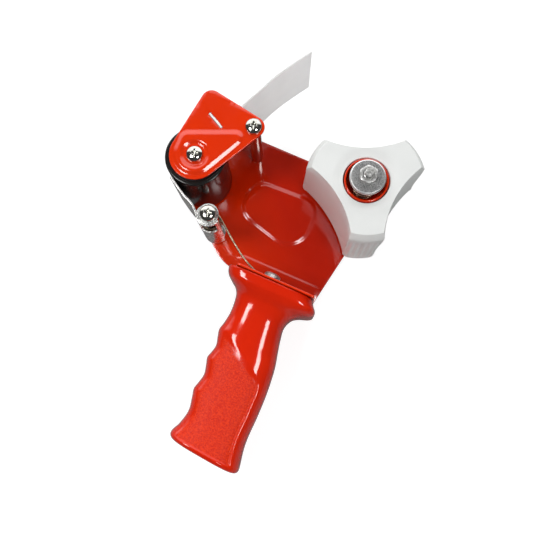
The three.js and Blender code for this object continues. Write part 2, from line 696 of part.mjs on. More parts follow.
// Rounded-rectangle section of the grip. The butt is cut at a slant, so its lowest rings lean.
function gripRing(height, inset, sides, shrink = 1) {
  const front = tableAt(gripFront, height) + inset;
  const back = tableAt(gripBack, height) - inset;
  const halfWidth = (tableAt(gripHalfWidth, height) - inset) * shrink;
  const middle = (front + back) / 2;
  const halfLength = ((back - front) / 2) * shrink;
  const slant = -0.083 * THREE.MathUtils.smoothstep(-height, 172, 184);
  const squareness = 2 / 3;
  return Array.from({ length: sides }, (_, k) => {
    const angle = (2 * Math.PI * (k + 0.5)) / sides;
    const across = Math.sign(Math.cos(angle)) * Math.abs(Math.cos(angle)) ** squareness;
    const along = Math.sign(Math.sin(angle)) * Math.abs(Math.sin(angle)) ** squareness;
    const x = middle + halfLength * along;
    return new THREE.Vector3(x, height + slant * (x - middle), GRIP.middle + halfWidth * across);
  });
}

function gripSolids() {
  const levels = [
    -182.4, -180, -176, -170, -165, -156, -152, -148, -142, -136, -132, -128, -123.5, -118, -114,
    -109, -101, -95, -91, -88.5, -87, -86, -84.5, -82, -79, GRIP.top,
  ];
  const outside = loftGeometry([
    gripRing(-185.2, 0, 28, 0.93), gripRing(-184.2, 0, 28, 0.98), ...levels.map((y) => gripRing(y, 0, 28))]);
  const hollow = [-182.4, -176, -165, -150, -130, -101, -92, -87, -83, GRIP.top - GRIP.cap];
  const inside = loftGeometry(hollow.map((y) => gripRing(y, GRIP.wall, 20)));
  return { outside: toSolid(outside), inside: toSolid(inside) };
}

const gripScrews = [{ x: -25, y: -101 }, { x: -23, y: -172 }];
const SCREW_SEAT = 20;           // floor of the counterbores in the far half

function gripHalves() {
  const { outside, inside } = gripSolids();
  const boltHole = rodGeometry(3.3, -10, 2, 20).rotateX(-Math.PI / 2);
  const shell = cut(outside, inside, toSolid(boltHole.translate(GRIP.boltX, GRIP.top, GRIP.middle)));
  const nearSide = boxSolid([-80, -200, GRIP.middle + 0.05], [20, -60, 70]);
  const farSide = boxSolid([-80, -200, 0], [20, -60, GRIP.middle - 0.05]);
  const posts = (z0, z1, radius) => gripScrews.map(({ x, y }) => rodSolid(x, y, radius, z0, z1, 18));
  const nearPosts = posts(GRIP.middle + 0.05, 60, 3.4).map((post) => post.intersect(outside));
  const farPosts = posts(0, GRIP.middle - 0.05, 4.4).map((post) => post.intersect(outside));
  return {
    near: cut(join(shell.intersect(nearSide), ...nearPosts), ...posts(GRIP.middle - 1, 42.5, 1.4)),
    far: cut(join(shell.intersect(farSide), ...farPosts), ...posts(-1, GRIP.middle + 1, 1.7),
      ...posts(-1, SCREW_SEAT, 3)),
  };
}

const halves = gripHalves();
addPiece('handle_near_half', toGeometry(halves.near), redPlastic());
addPiece('handle_far_half', toGeometry(halves.far), redPlastic());
for (const [k, spot] of gripScrews.entries()) {
  const profile = [
    [0, SCREW_SEAT - 2.2], [2.6, SCREW_SEAT - 2.2], [2.6, SCREW_SEAT - 0.1],
    [1.25, SCREW_SEAT - 0.1], [1.25, 39], [0, 41.5],
  ];
  addPiece(`handle_screw_${k + 1}`, latheGeometry(profile, 16), zinc(), groupAt(spot));
}

// Bolt through the seat and the handle's top wall, drawn along +Z and turned to point down.
const boltGroup = new THREE.Group();
boltGroup.position.set(GRIP.boltX, SEAT.top, GRIP.middle);
boltGroup.rotation.x = Math.PI / 2;
dispenser.add(boltGroup);
const WASHER_THICK = 1.4;
const headFace = -WASHER_THICK - 0.05;
const boltProfile = [
  [0, headFace - 4.1], [4, headFace - 4.1], [5.3, headFace - 3], [5.3, headFace],
  [2.95, headFace], [2.95, 13.4], [2.2, 14.2], [0, 14.2],
];
addPiece('handle_bolt', latheGeometry(boltProfile, 24), zinc(), boltGroup);
addPiece('handle_washer', tubeGeometry(3.2, 7, -WASHER_THICK, -0.05, 28), zinc(), boltGroup);
const nutTop = SHEET + GAP + GRIP.cap + 0.1;
addPiece('handle_nut', nutGeometry(10, 3.1, nutTop, nutTop + 5), zinc(), boltGroup);

export default dispenser;
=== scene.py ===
import math

import bpy
import numpy as np
from mathutils import Matrix, Vector
from mathutils.geometry import delaunay_2d_cdt


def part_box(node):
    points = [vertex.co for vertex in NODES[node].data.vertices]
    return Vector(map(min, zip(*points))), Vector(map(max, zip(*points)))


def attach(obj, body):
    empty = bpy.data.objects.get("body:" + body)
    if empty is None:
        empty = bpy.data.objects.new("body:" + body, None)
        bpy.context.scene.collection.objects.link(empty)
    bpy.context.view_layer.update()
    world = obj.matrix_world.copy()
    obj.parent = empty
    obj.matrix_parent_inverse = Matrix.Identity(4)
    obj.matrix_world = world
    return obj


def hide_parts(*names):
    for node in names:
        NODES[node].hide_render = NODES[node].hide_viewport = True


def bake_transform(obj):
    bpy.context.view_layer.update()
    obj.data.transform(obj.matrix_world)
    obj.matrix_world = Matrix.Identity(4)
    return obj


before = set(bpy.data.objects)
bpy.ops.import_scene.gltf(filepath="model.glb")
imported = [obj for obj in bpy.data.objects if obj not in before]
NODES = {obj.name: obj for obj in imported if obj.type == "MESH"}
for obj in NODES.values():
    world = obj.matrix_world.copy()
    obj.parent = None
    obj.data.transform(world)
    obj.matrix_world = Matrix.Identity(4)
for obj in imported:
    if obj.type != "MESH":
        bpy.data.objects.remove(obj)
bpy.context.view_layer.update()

MM = 0.001


def node_box(name):
    """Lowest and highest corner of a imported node, in millimetres."""
    low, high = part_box(name)
    return np.array(low) / MM, np.array(high) / MM


def node_centre(name):
    low, high = node_box(name)
    return (low[:2] + high[:2]) / 2


def node_tube(name):
    """Radius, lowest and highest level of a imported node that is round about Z, in millimetres."""
    low, high = node_box(name)
    return (high[0] - low[0]) / 2, low[2], high[2]


# -------- main dimensions, mm
SHEET = 1.3
SIDE_OUT = node_box("side_frame")[0][2]
SIDE_IN = SIDE_OUT + SHEET
FRONT_IN, FRONT_OUT = node_box("front_plate")[0][2], node_box("front_plate")[1][2]
ROLLER = node_centre("roller_shaft")
POST = node_centre("spacer_post")
PIVOT = node_centre("pivot_post")
SCREW_HOLE = 2.7        # radius of the holes for the screws
SHANK = 2.4             # radius of the screws' shanks
GRIP_MIDDLE = 29.85     # Z of the grip's seam and of the bolt that holds the grip


# -------- procedural materials
def shader(name, color, rough, metal=0.0, **inputs):
    """A new material with its Principled shader and the handles for adding detail to it."""
    mat = bpy.data.materials.new(name)
    mat.use_nodes = True
    tree = mat.node_tree
    bsdf = tree.nodes["Principled BSDF"]
    bsdf.inputs["Base Color"].default_value = (*color, 1)
    bsdf.inputs["Roughness"].default_value = rough
    bsdf.inputs["Metallic"].default_value = metal
    for key, value in inputs.items():
        bsdf.inputs[key.replace("_", " ")].default_value = value
    coords = tree.nodes.new("ShaderNodeTexCoord")
    return mat, tree, bsdf, coords.outputs["Object"]


def noise(tree, where, scale, detail=3.0, rough=0.5, stretch=None):
    """Noise over the object's own coordinates, with scale in cycles per metre."""
    node = tree.nodes.new("ShaderNodeTexNoise")
    node.inputs["Scale"].default_value = scale
    node.inputs["Detail"].default_value = detail
    node.inputs["Roughness"].default_value = rough
    if stretch is not None:
        mapping = tree.nodes.new("ShaderNodeMapping")
        mapping.inputs["Scale"].default_value = stretch
        tree.links.new(where, mapping.inputs["Vector"])
        where = mapping.outputs["Vector"]
    tree.links.new(where, node.inputs["Vector"])
    return node.outputs["Fac"]


def spread(tree, value, low, high, out_low, out_high):
    """Stretches a value from one range to another, held inside it."""
    node = tree.nodes.new("ShaderNodeMapRange")
    for key, number in zip(("From Min", "From Max", "To Min", "To Max"), (low, high, out_low, out_high)):
        node.inputs[key].default_value = number
    tree.links.new(value, node.inputs["Value"])
    return node.outputs["Result"]


def blend_colors(tree, factor, first, second):
    node = tree.nodes.new("ShaderNodeMix")
    node.data_type = "RGBA"
    tree.links.new(factor, node.inputs["Factor"])
    for socket, color in ((node.inputs[6], first), (node.inputs[7], second)):
        if isinstance(color, tuple):
            socket.default_value = (*color, 1)
        else:
            tree.links.new(color, socket)
    return node.outputs[2]


def bump(tree, bsdf, height, distance, strength):
    node = tree.nodes.new("ShaderNodeBump")
    node.inputs["Distance"].default_value = distance
    node.inputs["Strength"].default_value = strength
    tree.links.new(height, node.inputs["Height"])
    tree.links.new(node.outputs["Normal"], bsdf.inputs["Normal"])


def join_values(tree, operation, first, second):
    node = tree.nodes.new("ShaderNodeMath")
    node.operation = operation
    for socket, value in zip(node.inputs, (first, second)):
        if isinstance(value, (int, float)):
            socket.default_value = value
        else:
            tree.links.new(value, socket)
    return node.outputs[0]


def paint_material(name, color, deep, painted_shade=None):
    """Stoved enamel: an even colour with a slight orange peel and a few rubbed patches. The last argument is
    a deeper colour painted on the frame's flat side as painted shade, which fades out up its fold and towards
    the pivot post."""
    mat, tree, bsdf, where = shader(name, color, 0.16, Coat_Weight=1.0, Coat_Roughness=0.05,
                                    Specular_IOR_Level=0.25)
    cloud = noise(tree, where, 45, 2)
    paint = blend_colors(tree, spread(tree, cloud, 0.3, 0.7, 0, 1), deep, color)
    # painted shade: the flat side is darkened away from the pivot post and below the fold, where the front
    # plate and hub shade it
    if painted_shade is not None:
        split = tree.nodes.new("ShaderNodeSeparateXYZ")
        tree.links.new(where, split.inputs[0])
        corner = join_values(tree, "ADD", split.outputs["X"], split.outputs["Y"])
        unshaded_towards_pivot = spread(tree, corner, -0.15, -0.065, 1.1, 0.0)
        unshaded_up_the_fold = spread(tree, split.outputs["Z"], 0.006, 0.03, 0, 1)
        share = join_values(tree, "MAXIMUM", unshaded_towards_pivot, unshaded_up_the_fold)
        paint = blend_colors(tree, share, painted_shade, paint)
    tree.links.new(paint, bsdf.inputs["Base Color"])
    rub = noise(tree, where, 160, 6, 0.65)
    tree.links.new(spread(tree, rub, 0.35, 0.75, 0.12, 0.24), bsdf.inputs["Roughness"])
    bump(tree, bsdf, noise(tree, where, 420, 2, 0.4), 0.00003, 0.5)
    return mat


def metal_material(name, color, rough, dark, speckle, grain=0.0, brush=None):
    """Plated or bare steel, mottled by speckle and scuffed along the brush direction."""
    mat, tree, bsdf, where = shader(name, color, rough, 1.0)
    spots = noise(tree, where, speckle, 5, 0.6)
    mottle = blend_colors(tree, spread(tree, spots, 0.38, 0.66, 0, 1), dark, color)
    tree.links.new(mottle, bsdf.inputs["Base Color"])
    scuffs = noise(tree, where, 900, 3, 0.6, brush or (1, 1, 1))
    tree.links.new(spread(tree, scuffs, 0.3, 0.75, rough * 0.75, rough * 1.5), bsdf.inputs["Roughness"])
    if grain:
        bump(tree, bsdf, noise(tree, where, speckle * 1.7, 4, 0.6), grain, 0.6)
    return mat


def plastic_material(name, color, other, rough, peel, depth, **inputs):
    """A moulding: slightly cloudy colour, uneven gloss and a fine surface."""
    mat, tree, bsdf, where = shader(name, color, rough, **inputs)
    cloud = noise(tree, where, 60, 3)
    cloudy = blend_colors(tree, spread(tree, cloud, 0.32, 0.68, 0, 1), other, color)
    tree.links.new(cloudy, bsdf.inputs["Base Color"])
    gloss = noise(tree, where, 240, 4, 0.6)
    tree.links.new(spread(tree, gloss, 0.3, 0.7, rough * 0.85, rough * 1.25), bsdf.inputs["Roughness"])
    bump(tree, bsdf, noise(tree, where, peel, 3, 0.5), depth, 0.5)
    return mat


def handle_material():
    """Glossy red moulding, with a grained panel where the mesh's grain attribute is 1."""
    mat, tree, bsdf, where = shader("handle_red", (0.80, 0.02, 0.003), 0.13, Coat_Roughness=0.05,
                                    Specular_IOR_Level=0.2)
    grain_layer = tree.nodes.new("ShaderNodeAttribute")
    grain_layer.attribute_name = "grain"
    panel = grain_layer.outputs["Fac"]
    cloud = spread(tree, noise(tree, where, 70, 3), 0.3, 0.7, 0, 1)
    smooth = blend_colors(tree, cloud, (0.70, 0.017, 0.001), (0.77, 0.021, 0.0012))
    grain = noise(tree, where, 1050, 3, 0.6)
    speckle = spread(tree, grain, 0.38, 0.62, 0, 1)
    sparkle = blend_colors(tree, speckle, (0.64, 0.014, 0.0008), (0.83, 0.040, 0.003))
    tree.links.new(blend_colors(tree, panel, smooth, sparkle), bsdf.inputs["Base Color"])
    tree.links.new(spread(tree, panel, 0, 1, 0.13, 0.42), bsdf.inputs["Roughness"])
    tree.links.new(spread(tree, panel, 0, 1, 0.85, 0.0), bsdf.inputs["Coat Weight"])
    height = join_values(tree, "MULTIPLY", grain, panel)
    bump(tree, bsdf, height, 0.00030, 0.8)
    return mat


REDS = (0.84, 0.034, 0.0004), (0.79, 0.030, 0.0004)
RED_PAINT = paint_material("red_paint", *REDS)
# the frame's paint carries a darker colour painted on its flat side as shade
FRAME_PAINT = paint_material("frame_paint", *REDS, painted_shade=(0.52, 0.012, 0.0003))
CHROME = metal_material("chrome_plate", (0.66, 0.66, 0.62), 0.07, (0.52, 0.51, 0.46), 500)
ZINC = metal_material("zinc_plate", (0.80, 0.80, 0.78), 0.34, (0.50, 0.50, 0.49), 1300, 0.00006)
WASHER_ZINC = metal_material("washer_zinc", (0.52, 0.52, 0.52), 0.42, (0.17, 0.17, 0.17), 1500, 0.00012)
# a brighter copy of the washer's zinc for its rounded rim: a painted highlight round the washer's edge
RIM_HIGHLIGHT_ZINC = metal_material("washer_rim_highlight", (0.90, 0.90, 0.89), 0.42, (0.78, 0.78, 0.78), 1200)
SATIN = metal_material("satin_nickel", (0.92, 0.92, 0.90), 0.26, (0.84, 0.83, 0.80), 400)
BRIGHT = metal_material("bright_zinc", (0.95, 0.95, 0.94), 0.55, (0.84, 0.84, 0.83), 900)
WIRE = metal_material("spring_wire", (0.46, 0.36, 0.26), 0.25, (0.25, 0.18, 0.12), 700)
BLADE = metal_material("blade_steel", (0.66, 0.67, 0.68), 0.2, (0.46, 0.46, 0.47), 600, 0, (1, 1, 12))
RUBBER = plastic_material("black_rubber", (0.010, 0.0085, 0.008), (0.016, 0.014, 0.013), 0.16, 900, 0.00002)
BLACK = plastic_material("black_plastic", (0.012, 0.012, 0.013), (0.02, 0.02, 0.021), 0.4, 1100, 0.00004)
WHITE = plastic_material("white_plastic", (0.86, 0.875, 0.86), (0.83, 0.845, 0.83), 0.38, 800, 0.00003)
WIPER_GREY = plastic_material("wiper_plastic", (0.95, 0.97, 0.93), (0.90, 0.92, 0.88), 0.42, 700, 0.00004,
                              Subsurface_Weight=1.0, Subsurface_Radius=(1, 1, 1), Subsurface_Scale=0.008)
HANDLE_RED = handle_material()
FIBRE = plastic_material("pressed_fibre", (0.10, 0.06, 0.035), (0.06, 0.035, 0.02), 0.85, 1400, 0.0001)


# -------- mesh building
def add_object(name, data):
    obj = bpy.data.objects.new(name, data)
    bpy.context.scene.collection.objects.link(obj)
    return obj


def make_piece(name, verts, faces, material, body, stands_for=(), crease=38):
    """Turns millimetre points and faces into a shaded piece that rides on a body."""
    mesh = bpy.data.meshes.new(name)
    mesh.from_pydata((np.asarray(verts, float) * MM).tolist(), [], faces)
    mesh.validate()
    mesh.update()
    mesh.materials.append(material)
    mesh.polygons.foreach_set("use_smooth", [True] * len(mesh.polygons))
    mesh.set_sharp_from_angle(angle=math.radians(crease))
    piece = add_object(name, mesh)
    if body is not None:
        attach(piece, body)
    if stands_for:
        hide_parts(*stands_for)
    return piece


def skin_rings(rings, closed_stack=False):
    """Points and faces of a skin over rings that have one size. A ring's points run anticlockwise
    seen from the end that the stack goes towards. An open stack is capped at both ends."""
    count = len(rings[0])
    verts = np.concatenate([np.asarray(r, float) for r in rings])
    faces = []
    levels = len(rings)
    last = levels if closed_stack else levels - 1
    for level in range(last):
        a0, b0 = level * count, ((level + 1) % levels) * count
        for i in range(count):
            j = (i + 1) % count
            faces.append((a0 + i, a0 + j, b0 + j, b0 + i))
    if not closed_stack:
        faces.append(tuple(reversed(range(count))))
        faces.append(tuple(range((levels - 1) * count, levels * count)))
    return verts, faces


def ring_angles(count):
    return np.linspace(0, 2 * math.pi, count, endpoint=False)


def round_ring(angles, radius, z):
    """Points about the Z axis, where the radius and the level may each change with the angle."""
    return np.stack([radius * np.cos(angles), radius * np.sin(angles), z + 0 * angles], 1)


def round_rings(angles, stops):
    return [round_ring(angles, radius, z) for radius, z in stops]


def rounded_profile(points, radius=0.3, steps=3):
    """Rounds the corners of an open [radius, z] profile; its two ends stay sharp. A third value in a
    point is that corner's own radius."""
    out = [np.array(points[0][:2], float)]
    for before, here, after in zip(points, points[1:], points[2:]):
        corner = np.array(here[:2], float)
        size = here[2] if len(here) > 2 else radius
        back, ahead = np.array(before[:2]) - corner, np.array(after[:2]) - corner
        size = min(size, 0.45 * np.linalg.norm(back), 0.45 * np.linalg.norm(ahead))
        if size < 1e-3:
            out.append(corner)
            continue
        start = corner + back / np.linalg.norm(back) * size
        end = corner + ahead / np.linalg.norm(ahead) * size
        for k in range(steps + 1):
            t = k / steps
            out.append((1 - t) ** 2 * start + 2 * t * (1 - t) * corner + t * t * end)
    out.append(np.array(points[-1][:2], float))
    return out


def turned(name, profile, material, body, node, centre=(0, 0), segments=96):
    """A turned piece with a hole along its axis and rounded corners. profile goes round its section."""
    middle = ((profile[0][0] + profile[-1][0]) / 2, (profile[0][1] + profile[-1][1]) / 2)
    points = rounded_profile([middle, *profile, middle])[:-1]
    verts, faces = skin_rings(round_rings(ring_angles(segments), points), closed_stack=True)
    verts[:, :2] += centre
    return make_piece(name, verts, faces, material, body, [node])


def belt(stops, step=4.0):
    """Outline round a list of (x, y, radius) circles, anticlockwise, joined by tangents. A negative
    radius is a hollow corner. step is the arcs' angle between points, in degrees."""
    count = len(stops)
    tangents = []
    for i, (x, y, r) in enumerate(stops):
        x2, y2, r2 = stops[(i + 1) % count]
        length = math.hypot(x2 - x, y2 - y)
        tangents.append(math.atan2(y2 - y, x2 - x) - math.asin((r2 - r) / length) - math.pi / 2)
    arcs = []
    for i, (x, y, r) in enumerate(stops):
        start, end = tangents[i - 1], tangents[i]
        if r < 0:
            start, end = start + math.pi, end + math.pi
            while end > start:
                end -= 2 * math.pi
        else:
            while end < start:
                end += 2 * math.pi
        n = max(2, int(abs(math.degrees(end - start)) / step))
        angles = np.linspace(start, end, n + 1)
        arcs.append([np.array([x + abs(r) * math.cos(a), y + abs(r) * math.sin(a)]) for a in angles])
    return arcs


def flat(arcs):
    return np.array([p for arc in arcs for p in arc])


def rounded_box(x0, y0, x1, y1, r, step):
    spots = ((x0 + r, y0 + r), (x1 - r, y0 + r), (x1 - r, y1 - r), (x0 + r, y1 - r))
    return flat(belt([(x, y, r) for x, y in spots], step))


def circle(x, y, radius, count=40):
    return round_ring(ring_angles(count), radius, 0)[:, :2] + (x, y)


def resampled(loop, spacing):
    """The same closed loop with no two points further apart than spacing, and no doubled points."""
    out = []
    for a, b in zip(loop, np.roll(loop, -1, 0)):
        length = np.linalg.norm(b - a)
        if length < 1e-4:
            continue
        n = max(1, math.ceil(length / spacing))
        out += [a + (b - a) * k / n for k in range(n)]
    return np.array(out)


def outward_normals(loop):
    """Unit normals to the right of a closed loop: outward on an anticlockwise one."""
    ahead = np.roll(loop, -1, 0) - loop
    ahead /= np.linalg.norm(ahead, axis=1, keepdims=True)
    mean = ahead + np.roll(ahead, 1, 0)
    mean /= np.linalg.norm(mean, axis=1, keepdims=True)
    return np.stack([mean[:, 1], -mean[:, 0]], 1)


def signed_distance(points, loop):
    """Distance from each point to the nearest side of a closed loop, negative inside the loop."""
    x, y = points[:, 0], points[:, 1]
    nearest = np.full(len(points), 1e9)
    inside = np.zeros(len(points), bool)
    for a, b in zip(loop, np.roll(loop, -1, 0)):
        side = b - a
        t = np.clip(((points - a) @ side) / (side @ side + 1e-12), 0, 1)
        nearest = np.minimum(nearest, np.linalg.norm(points - (a + t[:, None] * side), axis=1))
        if side[1] != 0:
            inside ^= ((a[1] > y) != (b[1] > y)) & (x < side[0] * (y - a[1]) / side[1] + a[0])
    return nearest * np.where(inside, -1, 1)


def on_sheet(points, loops, margin):
    """Which points lie inside the first loop and outside the others, further in than the margin."""
    ok = signed_distance(points, loops[0]) < -margin
    for hole in loops[1:]:
        ok &= signed_distance(points, hole) > margin
    return ok


def ease(t):
    t = np.clip(t, 0, 1)
    return t * t * (3 - 2 * t)


def ramp(t, soft=0.22):
    """0 to 1 over t from 0 to 1: a straight slope with rounded ends."""
    t = np.clip(t, 0, 1)
    bend = np.where(t < soft, t * t / (2 * soft), np.where(t > 1 - soft, 1 - soft - (1 - t) ** 2 / (2 * soft),
                                                          t - soft / 2))
    return bend / (1 - soft)


def sheet_mesh(outline, holes, thickness, place, near, coarse=3.0, fine=0.75, edge=0.35):
    """A sheet with rounded edges. place(points, up) maps flat points, at a height above the
    sheet's middle, to space. near(points) says where the fine mesh is wanted. coarse and fine are
    the two meshes' spacings, and edge is the radius of the rounding."""
    loops = [resampled(outline, 1.2)] + [resampled(h[::-1], 1.0) for h in holes]
    normals = [outward_normals(l) for l in loops]
    insets = [l - n * edge for l, n in zip(loops, normals)]
    low, high = outline.min(0), outline.max(0)
    ratio = int(round(coarse / fine))
    nx, ny = ((high - low) / fine).astype(int) + 1
    gi, gj = np.meshgrid(np.arange(nx), np.arange(ny))
    gi, gj = gi.ravel(), gj.ravel()
    grid = np.stack([low[0] + gi * fine + fine * 0.5 * (gj % 2), low[1] + gj * fine], 1)
    keep = near(grid) | ((gi % ratio == 0) & (gj % ratio == 0))
    grid = grid[keep]
    grid = grid[on_sheet(grid, insets, 0.55 * fine)]
    points = np.concatenate(insets + [grid])
    edges, start = [], 0
    for loop in insets:
        n = len(loop)
        edges += [(start + i, start + (i + 1) % n) for i in range(n)]
        start += n
    out = delaunay_2d_cdt([Vector(p) for p in points], edges, [], 0, 1e-7)
    flat_points = np.array([tuple(p) for p in out[0]])
    source = [origin[0] if origin else -1 for origin in out[3]]
    index = {s: k for k, s in enumerate(source) if s >= 0}
    tris = np.array(out[2])
    tris = tris[on_sheet(flat_points[tris].mean(1), insets, 0)].tolist()
    half = thickness / 2
    count = len(flat_points)
    verts = [place(flat_points, np.full(count, half)), place(flat_points, np.full(count, -half))]
    faces = [tuple(t) for t in tris] + [(a + count, c + count, b + count) for a, b, c in tris]
    total, start = 2 * count, 0
    turns = [(30, 1), (60, 1), (90, 1), (90, -1), (60, -1), (30, -1)]
    for loop, normal in zip(insets, normals):
        n = len(loop)
        rows = [[index[start + i] for i in range(n)]]
        for degrees, sign in turns:
            angle = math.radians(degrees)
            ring = loop + normal * edge * math.sin(angle)
            verts.append(place(ring, np.full(n, sign * (half - edge * (1 - math.cos(angle))))))
            rows.append(list(range(total, total + n)))
            total += n
        rows.append([index[start + i] + count for i in range(n)])
        for upper, lower in zip(rows, rows[1:]):
            for i in range(n):
                j = (i + 1) % n
                faces.append((upper[j], upper[i], lower[i], lower[j]))
        start += n
    return np.concatenate(verts), faces


def spline(points, count):
    """Catmull-Rom points through a list of points, evenly spaced along the line."""
    p = np.array(points, float)
    p = np.concatenate([[2 * p[0] - p[1]], p, [2 * p[-1] - p[-2]]])
    dense = []
    for a, b, c, d in zip(p, p[1:], p[2:], p[3:]):
        for t in np.linspace(0, 1, 24, endpoint=False):
            dense.append(0.5 * (2 * b + (c - a) * t + (2 * a - 5 * b + 4 * c - d) * t * t
                                + (3 * b - a - 3 * c + d) * t ** 3))
    dense.append(p[-2])
    return even(np.array(dense), count)


def run(line):
    """Distance along a line at each of its points."""
    return np.concatenate([[0], np.cumsum(np.linalg.norm(np.diff(line, axis=0), axis=1))])


def even(line, count):
    steps = run(line)
    wanted = np.linspace(0, steps[-1], count)
    return np.stack([np.interp(wanted, steps, line[:, k]) for k in range(line.shape[1])], 1)


def wire_mesh(line, radius, sides=12):
    """Round wire along a line of points, closed at both ends."""
    line = np.asarray(line, float)
    tangent = np.gradient(line, axis=0)
    tangent /= np.linalg.norm(tangent, axis=1, keepdims=True)
    up = np.array([0.0, 0.0, 1.0])
    if abs(tangent[0] @ up) > 0.9:
        up = np.array([1.0, 0.0, 0.0])
    rings = []
    angles = ring_angles(sides)
    for point, along in zip(line, tangent):
        up = up - along * (up @ along)
        up /= np.linalg.norm(up)
        side = np.cross(along, up)
        rings.append(point + radius * (np.cos(angles)[:, None] * up + np.sin(angles)[:, None] * side))
    return skin_rings([ring[::-1] for ring in rings])


def polar(radius, degrees):
    angle = math.radians(degrees)
    return np.array([radius * math.cos(angle), radius * math.sin(angle)])


# -------- painted sheet metal
NOSE = (-104.7, 8.9, 6.2)


def slot_loop():
    """The narrow slanting slot that both plates have."""
    half_length, half_width, angle = 6.15, 0.85, math.degrees(math.atan2(-5.4, 10.6))
    along, across = polar(half_length, angle), polar(half_width, angle + 90)
    return np.array([(-96.9, -2.0) + a * along + b * across for a, b in ((-1, -1), (1, -1), (1, 1), (-1, 1))])


def side_frame():
    bend_y, bend_z, bend_r = -72.9, SIDE_OUT + 3, 2.35        # fold of the seat, at the sheet's middle
    quarter = bend_r * math.pi / 2
    # the seat's near edge and the hole for the grip's bolt, as places on the flat sheet
    near_edge, bolt_y = (bend_y - quarter - (z - bend_z) for z in (55, GRIP_MIDDLE))
    arcs = belt([(-54.2, -43.4, 30), (-0.9, -72.4, 1), (21.4, -27, -13.6), (0.5, -2, 16.5), NOSE,
                 (ROLLER[0], ROLLER[1], 14.4)])
    front = [p for p in arcs[0] if p[0] < -57]
    flange = [(-57, -73.4), (-56.4, -77)]
    for x, first in ((-48.2, 185), (-2.3, 275)):
        flange += [tuple((x, near_edge + 1.8) + polar(1.8, first + turn)) for turn in range(0, 81, 20)]
    flange += [(0, -77), (0.1, -72.6)]
    outline = np.concatenate([np.array(front), np.array(flange), *[np.array(a) for a in arcs[2:]]])
    ring = flat(belt([(-36.5, -30.3, 14.4), (-33, -21.5, 11), (-59.2, -21.7, 10.3), (-57.5, -27, 12.1)]))
    joggle = -62.3

    def height(points):
        raised = 0.8 * (1 - ramp((signed_distance(points, ring) + 1.5) / 3))
        along = ease((points[:, 0] + 60) / 8) * ease((3 - points[:, 0]) / 5)
        step = 0.5 * ease((joggle + 1.1 - points[:, 1]) / 2.2) * along * ease((points[:, 1] + 73) / 5)
        return raised + step

    def place(points, up):
        s = bend_y - points[:, 1]
        lift = up + height(points)
        angle = np.clip(s / bend_r, 0, math.pi / 2)
        radius = bend_r - np.where(s > 0, up, 0)
        y = np.where(s > 0, bend_y - radius * np.sin(angle), points[:, 1])
        folded = bend_z - radius * np.cos(angle) + np.maximum(s - quarter, 0)
        z = np.where(s > 0, folded, bend_z - bend_r + lift)
        return np.stack([points[:, 0], y, z], 1)

    def near(points):
        fold = (points[:, 1] < -70) & (points[:, 1] > -78.5)
        step = (np.abs(points[:, 1] - joggle) < 2.4) & (points[:, 0] > -62)
        return (np.abs(signed_distance(points, ring)) < 2.6) | fold | step

    holes = [circle(*spot, SCREW_HOLE) for spot in (ROLLER, POST, PIVOT)]
    holes += [circle(0, 0, 3.25), slot_loop(), circle(-29.7, bolt_y, 3.3)]
    verts, faces = sheet_mesh(outline, holes, SHEET, place, near)
    make_piece("painted_side_frame", verts, faces, FRAME_PAINT, "root", ["side_frame"])


def front_plate():
    outline = flat(belt([(ROLLER[0], ROLLER[1], 15.4), (POST[0], POST[1], 6.6), NOSE], 3))
    boss = flat(belt([(ROLLER[0], ROLLER[1], 11.9), (-81.3, -7.3, 3.6), (-107.2, -19.5, 4.5)]))
    rise = 1.1

    def height(points):
        r = np.hypot(points[:, 0] - ROLLER[0], points[:, 1] - ROLLER[1])
        raised = rise * (1 - ramp((signed_distance(points, boss) + 1.7) / 3.2))
        return raised - rise * (1 - ramp((r - 6.3) / 3))

    def place(points, up):
        return np.column_stack([points, FRONT_IN + SHEET / 2 + up + height(points)])

    def near(points):
        r = np.hypot(points[:, 0] - ROLLER[0], points[:, 1] - ROLLER[1])
        return (np.abs(signed_distance(points, boss)) < 2.4) | (r < 10.5)

    holes = [circle(*ROLLER, SCREW_HOLE), circle(*POST, SCREW_HOLE), slot_loop()]
    verts, faces = sheet_mesh(outline, holes, SHEET, place, near, 3.0, 0.6)
    make_piece("painted_front_plate", verts, faces, RED_PAINT, "root", ["front_plate"])


side_frame()
front_plate()


# -------- screws, nuts and posts
def pan_screw(name, centre, seat, turn, node):
    """Pan head with a cross recess. seat is the height of its underside."""
    head, rise, rim = 5.0, 3.1, 0.9
    arm, half = 2.6, 0.42
    angles = ring_angles(112)
    radii = np.concatenate([np.linspace(0.12, 3.6, 24), np.linspace(3.75, 4.93, 9)])
    rings = round_rings(angles, [(SHANK, seat - 12), (SHANK, seat), (4.8, seat), (head, seat + 0.2),
                                 (head, seat + rim)])

    def lane(a, b):
        """1 on one bar of the cross, which narrows along its arm."""
        width = half * (1.15 - 0.25 * a / arm)
        return ease((width + 0.16 - b) / 0.3) * ease((arm + 0.15 - a) / 0.4)

    for r in radii[::-1]:
        dome = seat + rim + (rise - rim) * math.sqrt(max(1 - (r / head) ** 2.3, 0))
        x, y = np.abs(r * np.cos(angles - turn)), np.abs(r * np.sin(angles - turn))
        depth = np.maximum(lane(x, y), lane(y, x)) * (1.15 - 0.25 * r)
        flare = 0.25 * ease((1.3 - r) / 0.9)
        rings.append(round_ring(angles, r, dome - np.maximum(depth, flare)))
    verts, faces = skin_rings(rings)
    verts[:, :2] += centre
    make_piece(name, verts, faces, CHROME, "root", [node], 30)


def hex_ring(across, z, angles, shave=0.0):
    """Ring on a hexagon's outline; shave lowers its corners as a chamfering cone does."""
    fold = (angles + math.pi / 6) % (math.pi / 3) - math.pi / 6
    radius = across / 2 / np.cos(fold)
    return round_ring(angles, radius, z - shave * (radius - across / 2))


